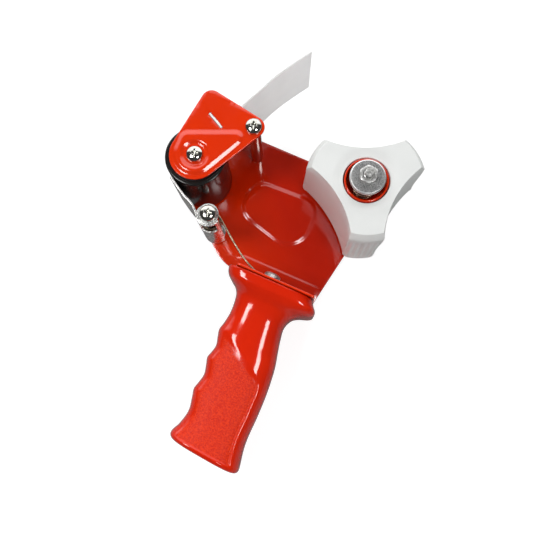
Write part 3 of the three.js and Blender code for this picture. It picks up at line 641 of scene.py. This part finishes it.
def hex_nut(name, z0, z1, body, node, turn):
    """An M6 nut on the axle's stud, turned by an angle about it."""
    across, hole, cone = 10, 3.05, 0.62
    angles = ring_angles(96)
    face = across / 2 * 0.985
    rings = round_rings(angles, [(hole, z0 + 0.5), (hole + 0.55, z0), (face - 0.2, z0), (face, z0 + 0.05)])
    rings += [hex_ring(across, z0 + 0.12, angles, -cone), hex_ring(across, z1 - 0.12, angles, cone)]
    rings += round_rings(angles, [(face, z1 - 0.05), (face - 0.2, z1), (hole + 0.55, z1), (hole, z1 - 0.5)])
    verts, faces = skin_rings(rings, closed_stack=True)
    c, s = math.cos(turn), math.sin(turn)
    verts[:, :2] = verts[:, :2] @ np.array([[c, s], [-s, c]])
    make_piece(name, verts, faces, ZINC, body, [node], 30)


def rear_screw(name, centre, node):
    """Hexagon-headed screw behind the side frame."""
    across = 8
    angles = ring_angles(72)
    rings = round_rings(angles, [(0.05, 0.25), (2.3, 0.25), (2.7, 0), (3.9, 0)])
    rings += [hex_ring(across, 0.15, angles, -0.6), hex_ring(across, SIDE_OUT - 0.05, angles)]
    rings += round_rings(angles, [(SHANK, SIDE_OUT), (SHANK, SIDE_IN + 11.8)])
    verts, faces = skin_rings(rings)
    verts[:, :2] += centre
    make_piece(name, verts, faces, ZINC, "root", [node], 30)


def spacer(name, node, material, centre):
    """A post with a hole that reaches past the screw in each of its ends."""
    radius, low, high = node_tube(node)
    profile = [(SCREW_HOLE, low + 12), (SCREW_HOLE, low), (radius, low, 0.4), (radius, high, 0.4),
               (SCREW_HOLE, high), (SCREW_HOLE, high - 12)]
    turned(name, profile, material, "root", node, centre, 56)


spacer("bright_spacer_post", "spacer_post", CHROME, POST)
spacer("plain_roller_shaft", "roller_shaft", ZINC, ROLLER)
spacer("bright_pivot_post", "pivot_post", CHROME, PIVOT)
pan_screw("post_screw", POST, FRONT_OUT, 0.35, "spacer_post_front_screw")
pan_screw("roller_screw", ROLLER, FRONT_OUT, 0.3, "roller_shaft_front_screw")
pan_screw("pivot_screw", PIVOT, node_box("pivot_post")[1][2], 0.25, "pivot_post_front_screw")
for label, spot in (("spacer_post", POST), ("roller_shaft", ROLLER), ("pivot_post", PIVOT)):
    rear_screw(f"{label}_hex_screw", spot, f"{label}_rear_screw")


# -------- roller
RUBBER_THICKNESS = 3
SLEEVE_R, sleeve_low, sleeve_high = node_tube("roller_sleeve")
SLEEVE_BORE = SLEEVE_R - RUBBER_THICKNESS
turned("rubber_sleeve",
       [(SLEEVE_BORE, sleeve_low), (SLEEVE_R, sleeve_low, 0.9), (SLEEVE_R, sleeve_high, 0.9),
        (SLEEVE_BORE, sleeve_high)],
       RUBBER, "roller", "roller_sleeve", ROLLER, 128)


# -------- hub
HUB = {"back": 9.5, "face": 60.0, "radius": 37.8, "front_radius": 36.2, "face_radius": 33.0,
       "chamfer": 6.0, "half": 17.3, "waist_back": 22.0, "waist_face": 19.7, "phase": 53.4,
       "bore": 13.9, "floor": 44.0, "wall": 3.0, "barrel": 16.4}
FLUTES = 6


def hub_ring(z, lobe, waist, flutes=0.0, inset=0.0, corner=0.0):
    """Outline of the hub at one height. flutes is the depth of the grooves across the lobe ends,
    and corner, 0 to 1, is how far the corners of the lobes are rounded. inset draws the outline
    in for the inside of the wall, which still clears the barrel."""
    out = []
    half, lobe_steps, waist_steps = HUB["half"], 72, 44
    drop, width = 0.5 + 2.6 * corner, 0.06 + 0.34 * corner
    for k in range(3):
        middle = HUB["phase"] + 120 * k
        for i in range(lobe_steps):
            t = 2 * i / lobe_steps - 1
            wave = 0.5 - 0.5 * math.cos(2 * math.pi * FLUTES * (t + 1) / 2)
            edge = ease((1 - abs(t)) / 0.06)
            fall = 1 - math.sqrt(max(0.0, 1 - max(0.0, 1 - (1 - abs(t)) / width) ** 2))
            radius = lobe - flutes * wave * edge - drop * fall
            out.append(polar(radius, middle + half * t))
        start, end = polar(lobe - drop, middle + half), polar(lobe - drop, middle + 120 - half)
        chord = (start + end) / 2
        sag = np.linalg.norm(chord) - waist
        inward = chord / np.linalg.norm(chord)
        for i in range(waist_steps):
            t = i / waist_steps
            out.append(start + (end - start) * t - inward * sag * (1 - (2 * t - 1) ** 2))
    ring = np.array(out)
    if inset:
        ring = ring - outward_normals(ring) * inset
        radius = np.linalg.norm(ring, axis=1)
        ring *= (np.maximum(radius, HUB["barrel"] + 0.5) / radius)[:, None]
    return np.column_stack([ring, np.full(len(ring), z)])


def hub_piece():
    face, back, chamfer = HUB["face"], HUB["back"], HUB["chamfer"]
    shoulder = face - chamfer
    outer = hub_ring(face, HUB["face_radius"], HUB["waist_face"])
    angles = np.arctan2(outer[:, 1], outer[:, 0])

    def wall_ring(z, flutes=0.0, inset=0.0, shave=0.0):
        share = (z - back) / (shoulder - back)
        waist = HUB["waist_back"] + (HUB["waist_face"] + 0.5 - HUB["waist_back"]) * min(share, 1)
        if share <= 1:
            lobe = HUB["radius"] + (HUB["front_radius"] - HUB["radius"]) * share
        else:
            t = (z - shoulder) / chamfer
            lobe = HUB["front_radius"] + (HUB["face_radius"] - HUB["front_radius"]) * t ** 1.5
            waist -= 0.5 * t
        corner = float(ease((1 - share) / 0.8))
        return hub_ring(z, lobe - shave, waist, flutes, inset, corner)

    shaft, boss, boss_back, flute, web = 6.08, 12, 6.8, 0.75, 50
    bore, barrel, wall, floor = HUB["bore"], HUB["barrel"], HUB["wall"], HUB["floor"]
    rings = round_rings(angles, [(shaft, boss_back), (boss - 0.2, boss_back), (boss, boss_back + 0.2),
                                 (boss, back), (barrel - 0.3, back), (barrel, back + 0.3), (barrel, web)])
    rings += [wall_ring(web + 0.5, 0, wall), wall_ring(back + 0.4, 0, wall), wall_ring(back, 0, wall - 0.4),
              wall_ring(back, 0, 0, 0.4), wall_ring(back + 0.4)]
    for z in np.linspace(back + 1.6, shoulder - 0.8, 26):
        fade = float(ease((shoulder - 0.5 - z) / 10) * ease((z - back - 1.6) / 3))
        rings.append(wall_ring(z, flute * fade))
    for t in np.linspace(0, 1, 9):
        rings.append(wall_ring(shoulder + (chamfer - 0.25) * t))
    rings.append(wall_ring(face - 0.08, 0, 0, -0.05))
    dip = 0.9
    lip = round_ring(angles, bore + 0.45, 0)[:, :2]
    for t in np.concatenate([[0.01], np.linspace(0.06, 1, 26)]):
        spot = outer[:, :2] * (1 - t) + lip * t
        r = np.linalg.norm(spot, axis=1)
        rings.append(np.column_stack([spot, face - dip * (1 - ease((r - bore - 0.4) / 6.5))]))
    low = face - dip
    rings += round_rings(angles, [(bore + 0.12, low - 0.15), (bore, low - 0.5), (bore, web),
                                  (bore, floor + 0.4), (bore - 0.4, floor), (shaft, floor)])
    verts, faces = skin_rings(rings, closed_stack=True)
    make_piece("moulded_hub", verts, faces, WHITE, "hub", ["hub"], 34)


hub_piece()

CUP_R, cup_floor, cup_top = node_tube("brake_cup")
CUP_SHEET, CUP_HOLE = 1.2, 6.3
turned("painted_brake_cup",
       [(CUP_HOLE, cup_floor), (CUP_R, cup_floor, 1.2), (CUP_R, cup_top, 0.5),
        (CUP_R - CUP_SHEET, cup_top, 0.5), (CUP_R - CUP_SHEET, cup_floor + CUP_SHEET, 1.0),
        (CUP_HOLE, cup_floor + CUP_SHEET)],
       RED_PAINT, "hub", "brake_cup")


# -------- axle, tension spring, washer and nut
def axle_stud():
    """Shouldered stud whose front end carries an M6 thread."""
    pitch, major, depth = 1.0, 2.98, 0.5
    shoulder, step = 6, 46
    angles = ring_angles(40)
    rings = round_rings(angles, [(2.4, 0), (2.9, 0.6), (2.95, SIDE_IN), (shoulder - 0.3, SIDE_IN + 0.01),
                                 (shoulder, SIDE_IN + 0.3), (shoulder, step - 0.3), (shoulder - 0.3, step),
                                 (2.5, step + 0.01)])
    top = node_box("axle_stud")[1][2]
    for z in np.arange(step + 0.3, top - 0.9, pitch / 8):
        phase = (z / pitch - angles / (2 * math.pi)) % 1
        tooth = np.abs(2 * phase - 1)
        rings.append(round_ring(angles, major - depth * np.clip(1.25 * tooth - 0.1, 0, 1), z))
    rings += round_rings(angles, [(2.5, top - 0.75), (2.15, top - 0.1), (2.0, top), (1.1, top),
                                  (0.75, top - 0.3), (0.1, top - 0.4)])
    verts, faces = skin_rings(rings)
    make_piece("threaded_axle_stud", verts, faces, ZINC, "root", ["axle_stud"], 30)


axle_stud()
hex_nut("rear_axle_nut", 0, SIDE_OUT, "root", "axle_rear_nut", 0.0)
WASHER_R, washer_low, washer_high = node_tube("tension_washer")
WASHER_HOLE = 3.15
thick_washer = turned(
    "thick_tension_washer",
    [(WASHER_HOLE, washer_low), (WASHER_R, washer_low, 0.35), (WASHER_R, washer_high - 0.55),
     (WASHER_R - 0.75, washer_high), (WASHER_HOLE, washer_high)],
    WASHER_ZINC, "tension_washer", "tension_washer")
# the outer rim takes the brighter zinc, a painted highlight on the chamfer
thick_washer.data.materials.append(RIM_HIGHLIGHT_ZINC)
for face in thick_washer.data.polygons:
    face.material_index = int(math.hypot(*face.center[:2]) > (WASHER_R - 0.8) * MM)
hex_nut("front_tension_nut", *node_tube("tension_nut")[1:], "tension_nut", "tension_nut", 0.42)


# -------- wiper, cutter and flap
WIPER_LINE = spline([(-90.2, 3.2), (-85.7, 15.1), (-80.7, 26.6), (-75.6, 38.6), (-69.4, 50.0),
                     (-61.8, 62.5)], 70)


def left_normals(line):
    along = np.gradient(line, axis=0)
    along /= np.linalg.norm(along, axis=1, keepdims=True)
    return np.stack([-along[:, 1], along[:, 0]], 1)


def wiper():
    """One flexible strip, from the wiper's root to its free end."""
    low, high = node_box("wiper_blade")
    z0, z1, thick, soft = low[2], high[2], 0.9, 0.3
    normal = left_normals(WIPER_LINE)
    section = rounded_box(0, z0, thick, z1, soft, 30)
    filled = []
    for (a, z), (b, w) in zip(section, np.roll(section, -1, 0)):
        n = max(1, int(abs(w - z) / 4))
        filled += [(a + (b - a) * k / n, z + (w - z) * k / n) for k in range(n)]
    rings = []
    for point, out in zip(WIPER_LINE, normal):
        rings.append([(*(point + out * across), z) for across, z in filled])
    verts, faces = skin_rings(rings)
    piece = make_piece("flexible_wiper", verts, faces, WIPER_GREY, None)
    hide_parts("wiper_root", "wiper_blade")
    bend_starts, bend_ends = WIPER_LINE[10], WIPER_LINE[16]
    start, end = ((x * MM, y * MM, 0.03) for x, y in (bend_starts, bend_ends))
    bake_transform(piece)
    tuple(start)
    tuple(end)


wiper()


def retainer():
    """Plated flap rolled from one sheet, with an open channel and two ears round the pivot post."""
    sheet, z0, z1, channel, flap_run = 1.2, 6.3, 57.2, 7.7, 26
    flap = [(-30.8, 11.4), (-25.4, 8.1), (-18.6, 4.2), (-12.6, 1.5), (-8.6, -1.6)]
    arc = [tuple(polar(channel, a)) for a in np.arange(212, 350, 13.7)]
    line = spline(flap + arc, 120)
    normal = left_normals(line)
    steps = run(line)
    angle_at = np.degrees(np.arctan2(line[:, 1], line[:, 0])) % 360
    in_channel = steps > flap_run
    s0, s1 = (np.interp(a, angle_at[in_channel], steps[in_channel]) for a in (243, 327))

    def place(points, up):
        s, z = points[:, 0], points[:, 1]
        middle = [np.interp(s, steps, line[:, k] + normal[:, k] * sheet / 2) for k in (0, 1)]
        out = [np.interp(s, steps, normal[:, k]) for k in (0, 1)]
        return np.stack([PIVOT[0] + middle[0] + out[0] * up, PIVOT[1] + middle[1] + out[1] * up, z], 1)

    outline = rounded_box(0, z0, steps[-1], z1, 1.2, 18)
    window = rounded_box(s0, 39.5, s1, 55.6, 1.4, 18)
    verts, faces = sheet_mesh(outline, [window], sheet, place, lambda p: p[:, 0] > flap_run - 2,
                              2.4, 0.8, 0.3)
    make_piece("plated_flap", verts, faces, SATIN, "retainer", ["retainer_flap"], 40)
    ear = flat(belt([(-1, -1.2, 6), (0, 0, 6.2)], 6))
    for label, low in (("rear", z0), ("front", z1 - sheet)):
        def lay(points, up):
            return np.column_stack([points + PIVOT, low + sheet / 2 + up])

        verts, faces = sheet_mesh(ear, [circle(0, 0, 4.12)], sheet, lay, lambda p: np.zeros(len(p), bool),
                                  2.4, 0.8, 0.25)
        make_piece(f"plated_flap_{label}_ear", verts, faces, SATIN, "retainer", (), 40)


def torsion_spring():
    """Coil round the pivot post, with a long leg to the frame's fold under the grip."""
    coil, turns, top, pitch, leave = 5.35, 6, 40.6, 1.42, 53.7
    t = np.linspace(0, 1, 240)
    angle = np.radians(leave + 360 * turns * (1 - t))
    spiral = np.stack([coil * np.cos(angle), coil * np.sin(angle), top - pitch * turns * (1 - t)], 1)
    leg = [(6.6, 2.1), (16.1, -5.1), (25.6, -11.8), (32.6, -15.7), (37.5, -17.6)]
    tail = spline([tuple(spiral[-6][:2]), tuple(spiral[-1][:2]), *leg], 70)[3:]
    tail = np.column_stack([tail, np.full(len(tail), top)])
    tail = tail[tail[:, 0] > spiral[-1][0] + 0.15]
    line = even(np.concatenate([spiral, tail]), 330)
    line[:, :2] += PIVOT
    verts, faces = wire_mesh(line, 0.6)
    make_piece("torsion_wire", verts, faces, WIRE, "root", ["torsion_spring"], 60)


def tension_coil():
    """Coil round the stud with flat end turns."""
    radius, low, high = node_tube("tension_spring")
    wire, turns, end_share = 0.8, 5.2, 0.1
    t = np.linspace(0, 1, 260)
    climb = np.clip((t - end_share) / (1 - 2 * end_share), 0, 1)
    level = low + wire + (high - low - 2 * wire) * (0.8 * climb + 0.2 * ease(climb))
    line = round_ring(0.3 + 2 * math.pi * turns * t, radius - wire, level)
    verts, faces = wire_mesh(line, wire)
    piece = make_piece("tension_coil", verts, faces, WIRE, None, ["tension_spring"], 60)
    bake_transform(piece)


retainer()
torsion_spring()
tension_coil()


# -------- handle
# X of the grip's front and back edge and half its thickness, each at levels down the grip
GRIP_FRONT = [(-76, -55.6), (-79, -55), (-82, -53.4), (-84, -51), (-87, -47.2), (-91, -45), (-101, -43.9),
              (-109, -44.8), (-114, -45.9), (-118, -45), (-123.5, -43.6), (-128, -44.4), (-132, -45.5),
              (-136, -44.4), (-142, -43), (-148, -44.1), (-152, -45.1), (-156, -44.2), (-165, -42.5),
              (-174, -44.3), (-181.5, -46.8), (-190, -46)]
GRIP_BACK = [(-76, -0.8), (-79, 1), (-82, 3.3), (-84.5, 3.3), (-86, 1.5), (-88, -3.4), (-91, -7.6),
             (-97, -10.1), (-104, -9.4), (-112, -7.7), (-122, -5.4), (-137, -3.8), (-152, -3.4), (-166, -3.6),
             (-174, -2.9), (-182, -1), (-190, 0.2)]
GRIP_HALF = [(-76, 24.4), (-82, 24), (-85, 22.6), (-90, 19.6), (-98, 17.8), (-110, 17.2), (-150, 17.2),
             (-172, 17.8), (-190, 18.8)]
GRIP_TOP, GRIP_END = -76.2, -182.4
END_ROUND = 2.7
PANEL_DEPTH = 1.0
SEAM = 0.06


def curve_at(curve, height):
    """Value at a height, from a smooth curve through a list of (height, value)."""
    k = next((i for i, (y, _) in enumerate(curve) if y <= height), 1) - 1
    k = min(max(k, 0), len(curve) - 2)

    def slope(i):
        y0, v0 = curve[max(i - 1, 0)]
        y1, v1 = curve[min(i + 1, len(curve) - 1)]
        return (v1 - v0) / (y1 - y0)

    (y0, v0), (y1, v1) = curve[k], curve[k + 1]
    span = y1 - y0
    t = (height - y0) / span
    return (v0 * (1 + 2 * t) * (1 - t) ** 2 + slope(k) * span * t * (1 - t) ** 2
            + v1 * t * t * (3 - 2 * t) + slope(k + 1) * span * t * t * (t - 1))


def grip_points(height, inset, side):
    """Half a section of the grip on one side of the seam, from front to back."""
    front, back = curve_at(GRIP_FRONT, height) + inset, curve_at(GRIP_BACK, height) - inset
    half = curve_at(GRIP_HALF, height) - inset
    middle, reach = (front + back) / 2, (back - front) / 2
    slant = -0.083 * float(ease((-height - 172) / 12))
    angle = np.linspace(-1, 1, 110) * math.pi / 2
    power = 2 / 3 - 0.27 * float(ease((height + 90) / 7))
    x = middle + reach * np.sign(np.sin(angle)) * np.abs(np.sin(angle)) ** power
    z = half * np.maximum(np.cos(angle), 0) ** power
    return x, height + slant * (x - middle), z * side


def panel_mask(x, y, height):
    """How grained and how sunk the grip's side is, each 0 to 1, at points of one level. The panel is
    bounded by the front and back edges, the end and a slanting line below the neck."""
    from_front = x - np.array([curve_at(GRIP_FRONT, v) for v in y])
    from_back = np.array([curve_at(GRIP_BACK, v) for v in y]) - x
    below = -0.62 * (x + 42.5) - y
    common = ease((from_back - 4.8) / 2.4) * float(ease((height - GRIP_END + 0.3) / 1.6))
    grained = ease((from_front - 3.4) / 2.2) * ease((below - 114) / 3.2)
    sunk = ease((from_front - 1.5) / 9) * ramp((below - 111) / 8.2)
    return grained * common, sunk * common


def handle_half(name, side, node):
    """One moulded half of the grip; side is 1 for the near half and -1 for the far one."""
    levels = list(np.linspace(GRIP_TOP - 0.9, -92, 26)) + list(np.linspace(-93, GRIP_END, 150))
    stack = [(GRIP_TOP, 0.9), (GRIP_TOP - 0.12, 0.45), (GRIP_TOP - 0.45, 0.12)]
    stack += [(y, 0.0) for y in levels]
    stack += [(GRIP_END - END_ROUND * math.sin(a), END_ROUND * (1 - math.cos(a)))
              for a in np.radians([15, 30, 45, 60, 75, 90])]
    seam = GRIP_MIDDLE + SEAM * side
    rings, grains = [], []
    for height, inset in stack:
        x, y, z = grip_points(height, inset, side)
        grained, sunk = (mask * (np.abs(z) > 6) for mask in panel_mask(x, y, height))
        z = z - side * PANEL_DEPTH * sunk
        z = np.where(np.abs(z) < SEAM, SEAM * side, z)
        ring = [(a, b, GRIP_MIDDLE + c) for a, b, c in zip(x, y, z)]
        ring += [(x[-1] + (x[0] - x[-1]) * t, y[-1] + (y[0] - y[-1]) * t, seam)
                 for t in np.linspace(0, 1, 10)[1:-1]]
        grained = np.concatenate([grained, np.zeros(len(ring) - len(x))])
        rings.append(ring[::side])
        grains.append(grained[::side])
    verts, faces = skin_rings(rings)
    piece = make_piece(name, verts, [f[::-1] for f in faces], HANDLE_RED, "root", [node], 46)
    layer = piece.data.attributes.new("grain", "FLOAT", "POINT")
    layer.data.foreach_set("value", np.concatenate(grains).astype(np.float32))
    return piece


def sink_screw_heads(piece):
    """Cuts the two counterbores into the rear face of the grip, down to the seats of the screws' heads."""
    clearance, head_height, below, mouth = 0.5, 2.3, 4, 13.4
    for node in ("handle_screw_1", "handle_screw_2"):
        head, low, _ = node_tube(node)
        radius, seat = head + clearance, low + head_height
        verts, faces = skin_rings(round_rings(ring_angles(48), [(radius + 0.6, below), (radius, mouth),
                                                                (radius, seat)]))
        verts[:, :2] += node_centre(node)
        cutter = make_piece(f"{node}_cutter", verts, faces, HANDLE_RED, None)
        step = piece.modifiers.new("counterbore", "BOOLEAN")
        step.object, step.operation, step.solver = cutter, "DIFFERENCE", "EXACT"
        bpy.context.view_layer.update()
        shape = piece.evaluated_get(bpy.context.evaluated_depsgraph_get())
        mesh = bpy.data.meshes.new_from_object(shape)
        piece.modifiers.clear()
        piece.data = mesh
        mesh.set_sharp_from_angle(angle=math.radians(46))
        bpy.data.objects.remove(cutter)


handle_half("grip_near_half", 1, "handle_near_half")
sink_screw_heads(handle_half("grip_far_half", -1, "handle_far_half"))


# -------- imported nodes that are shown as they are
def dress(node, material, width):
    """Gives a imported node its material, softened edges and smooth shading."""
    obj = NODES[node]
    obj.data.materials.clear()
    obj.data.materials.append(material)
    obj.data.polygons.foreach_set("use_smooth", [True] * len(obj.data.polygons))
    soften = obj.modifiers.new("soft_edges", "BEVEL")
    soften.width = width * MM
    soften.segments = 2
    soften.limit_method = "ANGLE"
    soften.angle_limit = math.radians(35)
    soften.harden_normals = True


for node_name in ("wiper_clamp", "blade_rivet_1", "blade_rivet_2", "clamp_rivet_1",
                  "clamp_rivet_2", "clamp_rivet_3", "handle_bolt", "handle_washer", "handle_nut",
                  "handle_screw_1", "handle_screw_2"):
    dress(node_name, ZINC, 0.12)
dress("blade_carrier", BRIGHT, 0.12)
dress("cutter_blade", BLADE, 0.08)
dress("friction_washer", FIBRE, 0.2)
dress("roller_rear_bush", BLACK, 0.2)
dress("roller_front_bush", BLACK, 0.2)


# -------- floor, light and camera
def table(name, height, color, glow, seen_by):
    """One sheet of the table. The lens sees the white one, the part's gloss sees the dark one,
    and the light that bounces off the table comes from the pale one."""
    mesh = bpy.data.meshes.new(name)
    corners = [(-3, -3), (3, -3), (3, 3), (-3, 3)]
    mesh.from_pydata([(x, y, height) for x, y in corners], [], [(0, 1, 2, 3)])
    obj = add_object(name, mesh)
    mat, tree, bsdf, where = shader(name, (color, color, color), 0.7)
    bsdf.inputs["Specular IOR Level"].default_value = 0.1
    bsdf.inputs["Emission Color"].default_value = (1, 1, 1, 1)
    bsdf.inputs["Emission Strength"].default_value = glow
    low, high = (color - 0.01,) * 3, (color + 0.01,) * 3
    tree.links.new(blend_colors(tree, noise(tree, where, 4, 2), low, high), bsdf.inputs["Base Color"])
    mesh.materials.append(mat)
    obj.visible_camera = seen_by == "lens"
    obj.visible_glossy = seen_by == "gloss"
    obj.visible_diffuse = obj.visible_transmission = obj.visible_shadow = seen_by == "bounce"


def facing(backward, right):
    """Rotation whose Z axis is backward and whose X axis lies as near to right as it can."""
    up = backward.cross(Vector(right)).normalized()
    return Matrix((up.cross(backward), up, backward)).transposed().to_euler()


def area_light(name, direction, width, height, power):
    """A soft rectangle of light, held in one direction from the middle of the tool."""
    aim, reach = Vector((-0.045, -0.05, 0.03)), 0.9
    light = bpy.data.lights.new(name, "AREA")
    light.shape = "RECTANGLE"
    light.size, light.size_y = width, height
    light.energy = power
    obj = add_object(name, light)
    away = Vector(direction).normalized()
    obj.location = aim + away * reach
    obj.rotation_euler = facing(away, (1, 0, 0))
    return obj


def studio():
    world = bpy.data.worlds.new("studio")
    bpy.context.scene.world = world
    world.use_nodes = True
    tree = world.node_tree
    background = tree.nodes["Background"]
    coords = tree.nodes.new("ShaderNodeTexCoord")
    # a broad pale bank beyond the wiper, from the horizon to some 60 degrees up, in a dark room
    beyond = tree.nodes.new("ShaderNodeVectorMath")
    beyond.operation = "DOT_PRODUCT"
    beyond.inputs[1].default_value = (-0.403, 0.915, 0)
    tree.links.new(coords.outputs["Generated"], beyond.inputs[0])
    light = spread(tree, beyond.outputs["Value"], 0.42, 0.56, 0.06, 1.8)
    lens = tree.nodes.new("ShaderNodeLightPath").outputs["Is Camera Ray"]
    tree.links.new(blend_colors(tree, lens, light, (1.0, 1.0, 1.0)), background.inputs["Color"])
    background.inputs["Strength"].default_value = 1.0
    # three small windows high up, two on the side of the grip's front and one on that of its back
    area_light("window_left", (-0.40, -0.16, 0.90), 0.2, 0.2, 1.75)
    area_light("window_right", (0.38, -0.08, 0.92), 0.2, 0.22, 1.95)
    area_light("window_low", (-0.37, -0.32, 0.87), 0.25, 0.11, 1.1)
    # a pale wall beyond the grip's end lights the sides that face it, out of the gloss
    fill = area_light("wall", (0.40, -0.91, 0.22), 0.8, 0.5, 1.3)
    fill.visible_glossy = False


def camera():
    data = bpy.data.cameras.new("camera")
    data.sensor_width = 36
    data.lens = 45.24
    obj = add_object("camera", data)
    obj.location = (0.00169, -0.12559, 0.44028)
    backward = Vector((0.089578, -0.141882, 0.985822)).normalized()
    obj.rotation_euler = facing(backward, (0.913356, 0.406424, -0.0245))
    bpy.context.scene.camera = obj


table("white_table", 0.0, 0.3, 0.86, "lens")
table("dark_table", -0.0003, 0.26, 0.0, "gloss")
table("pale_table", -0.0006, 0.68, 0.0, "bounce")
studio()
camera()
bpy.context.scene.view_settings.view_transform = "Standard"
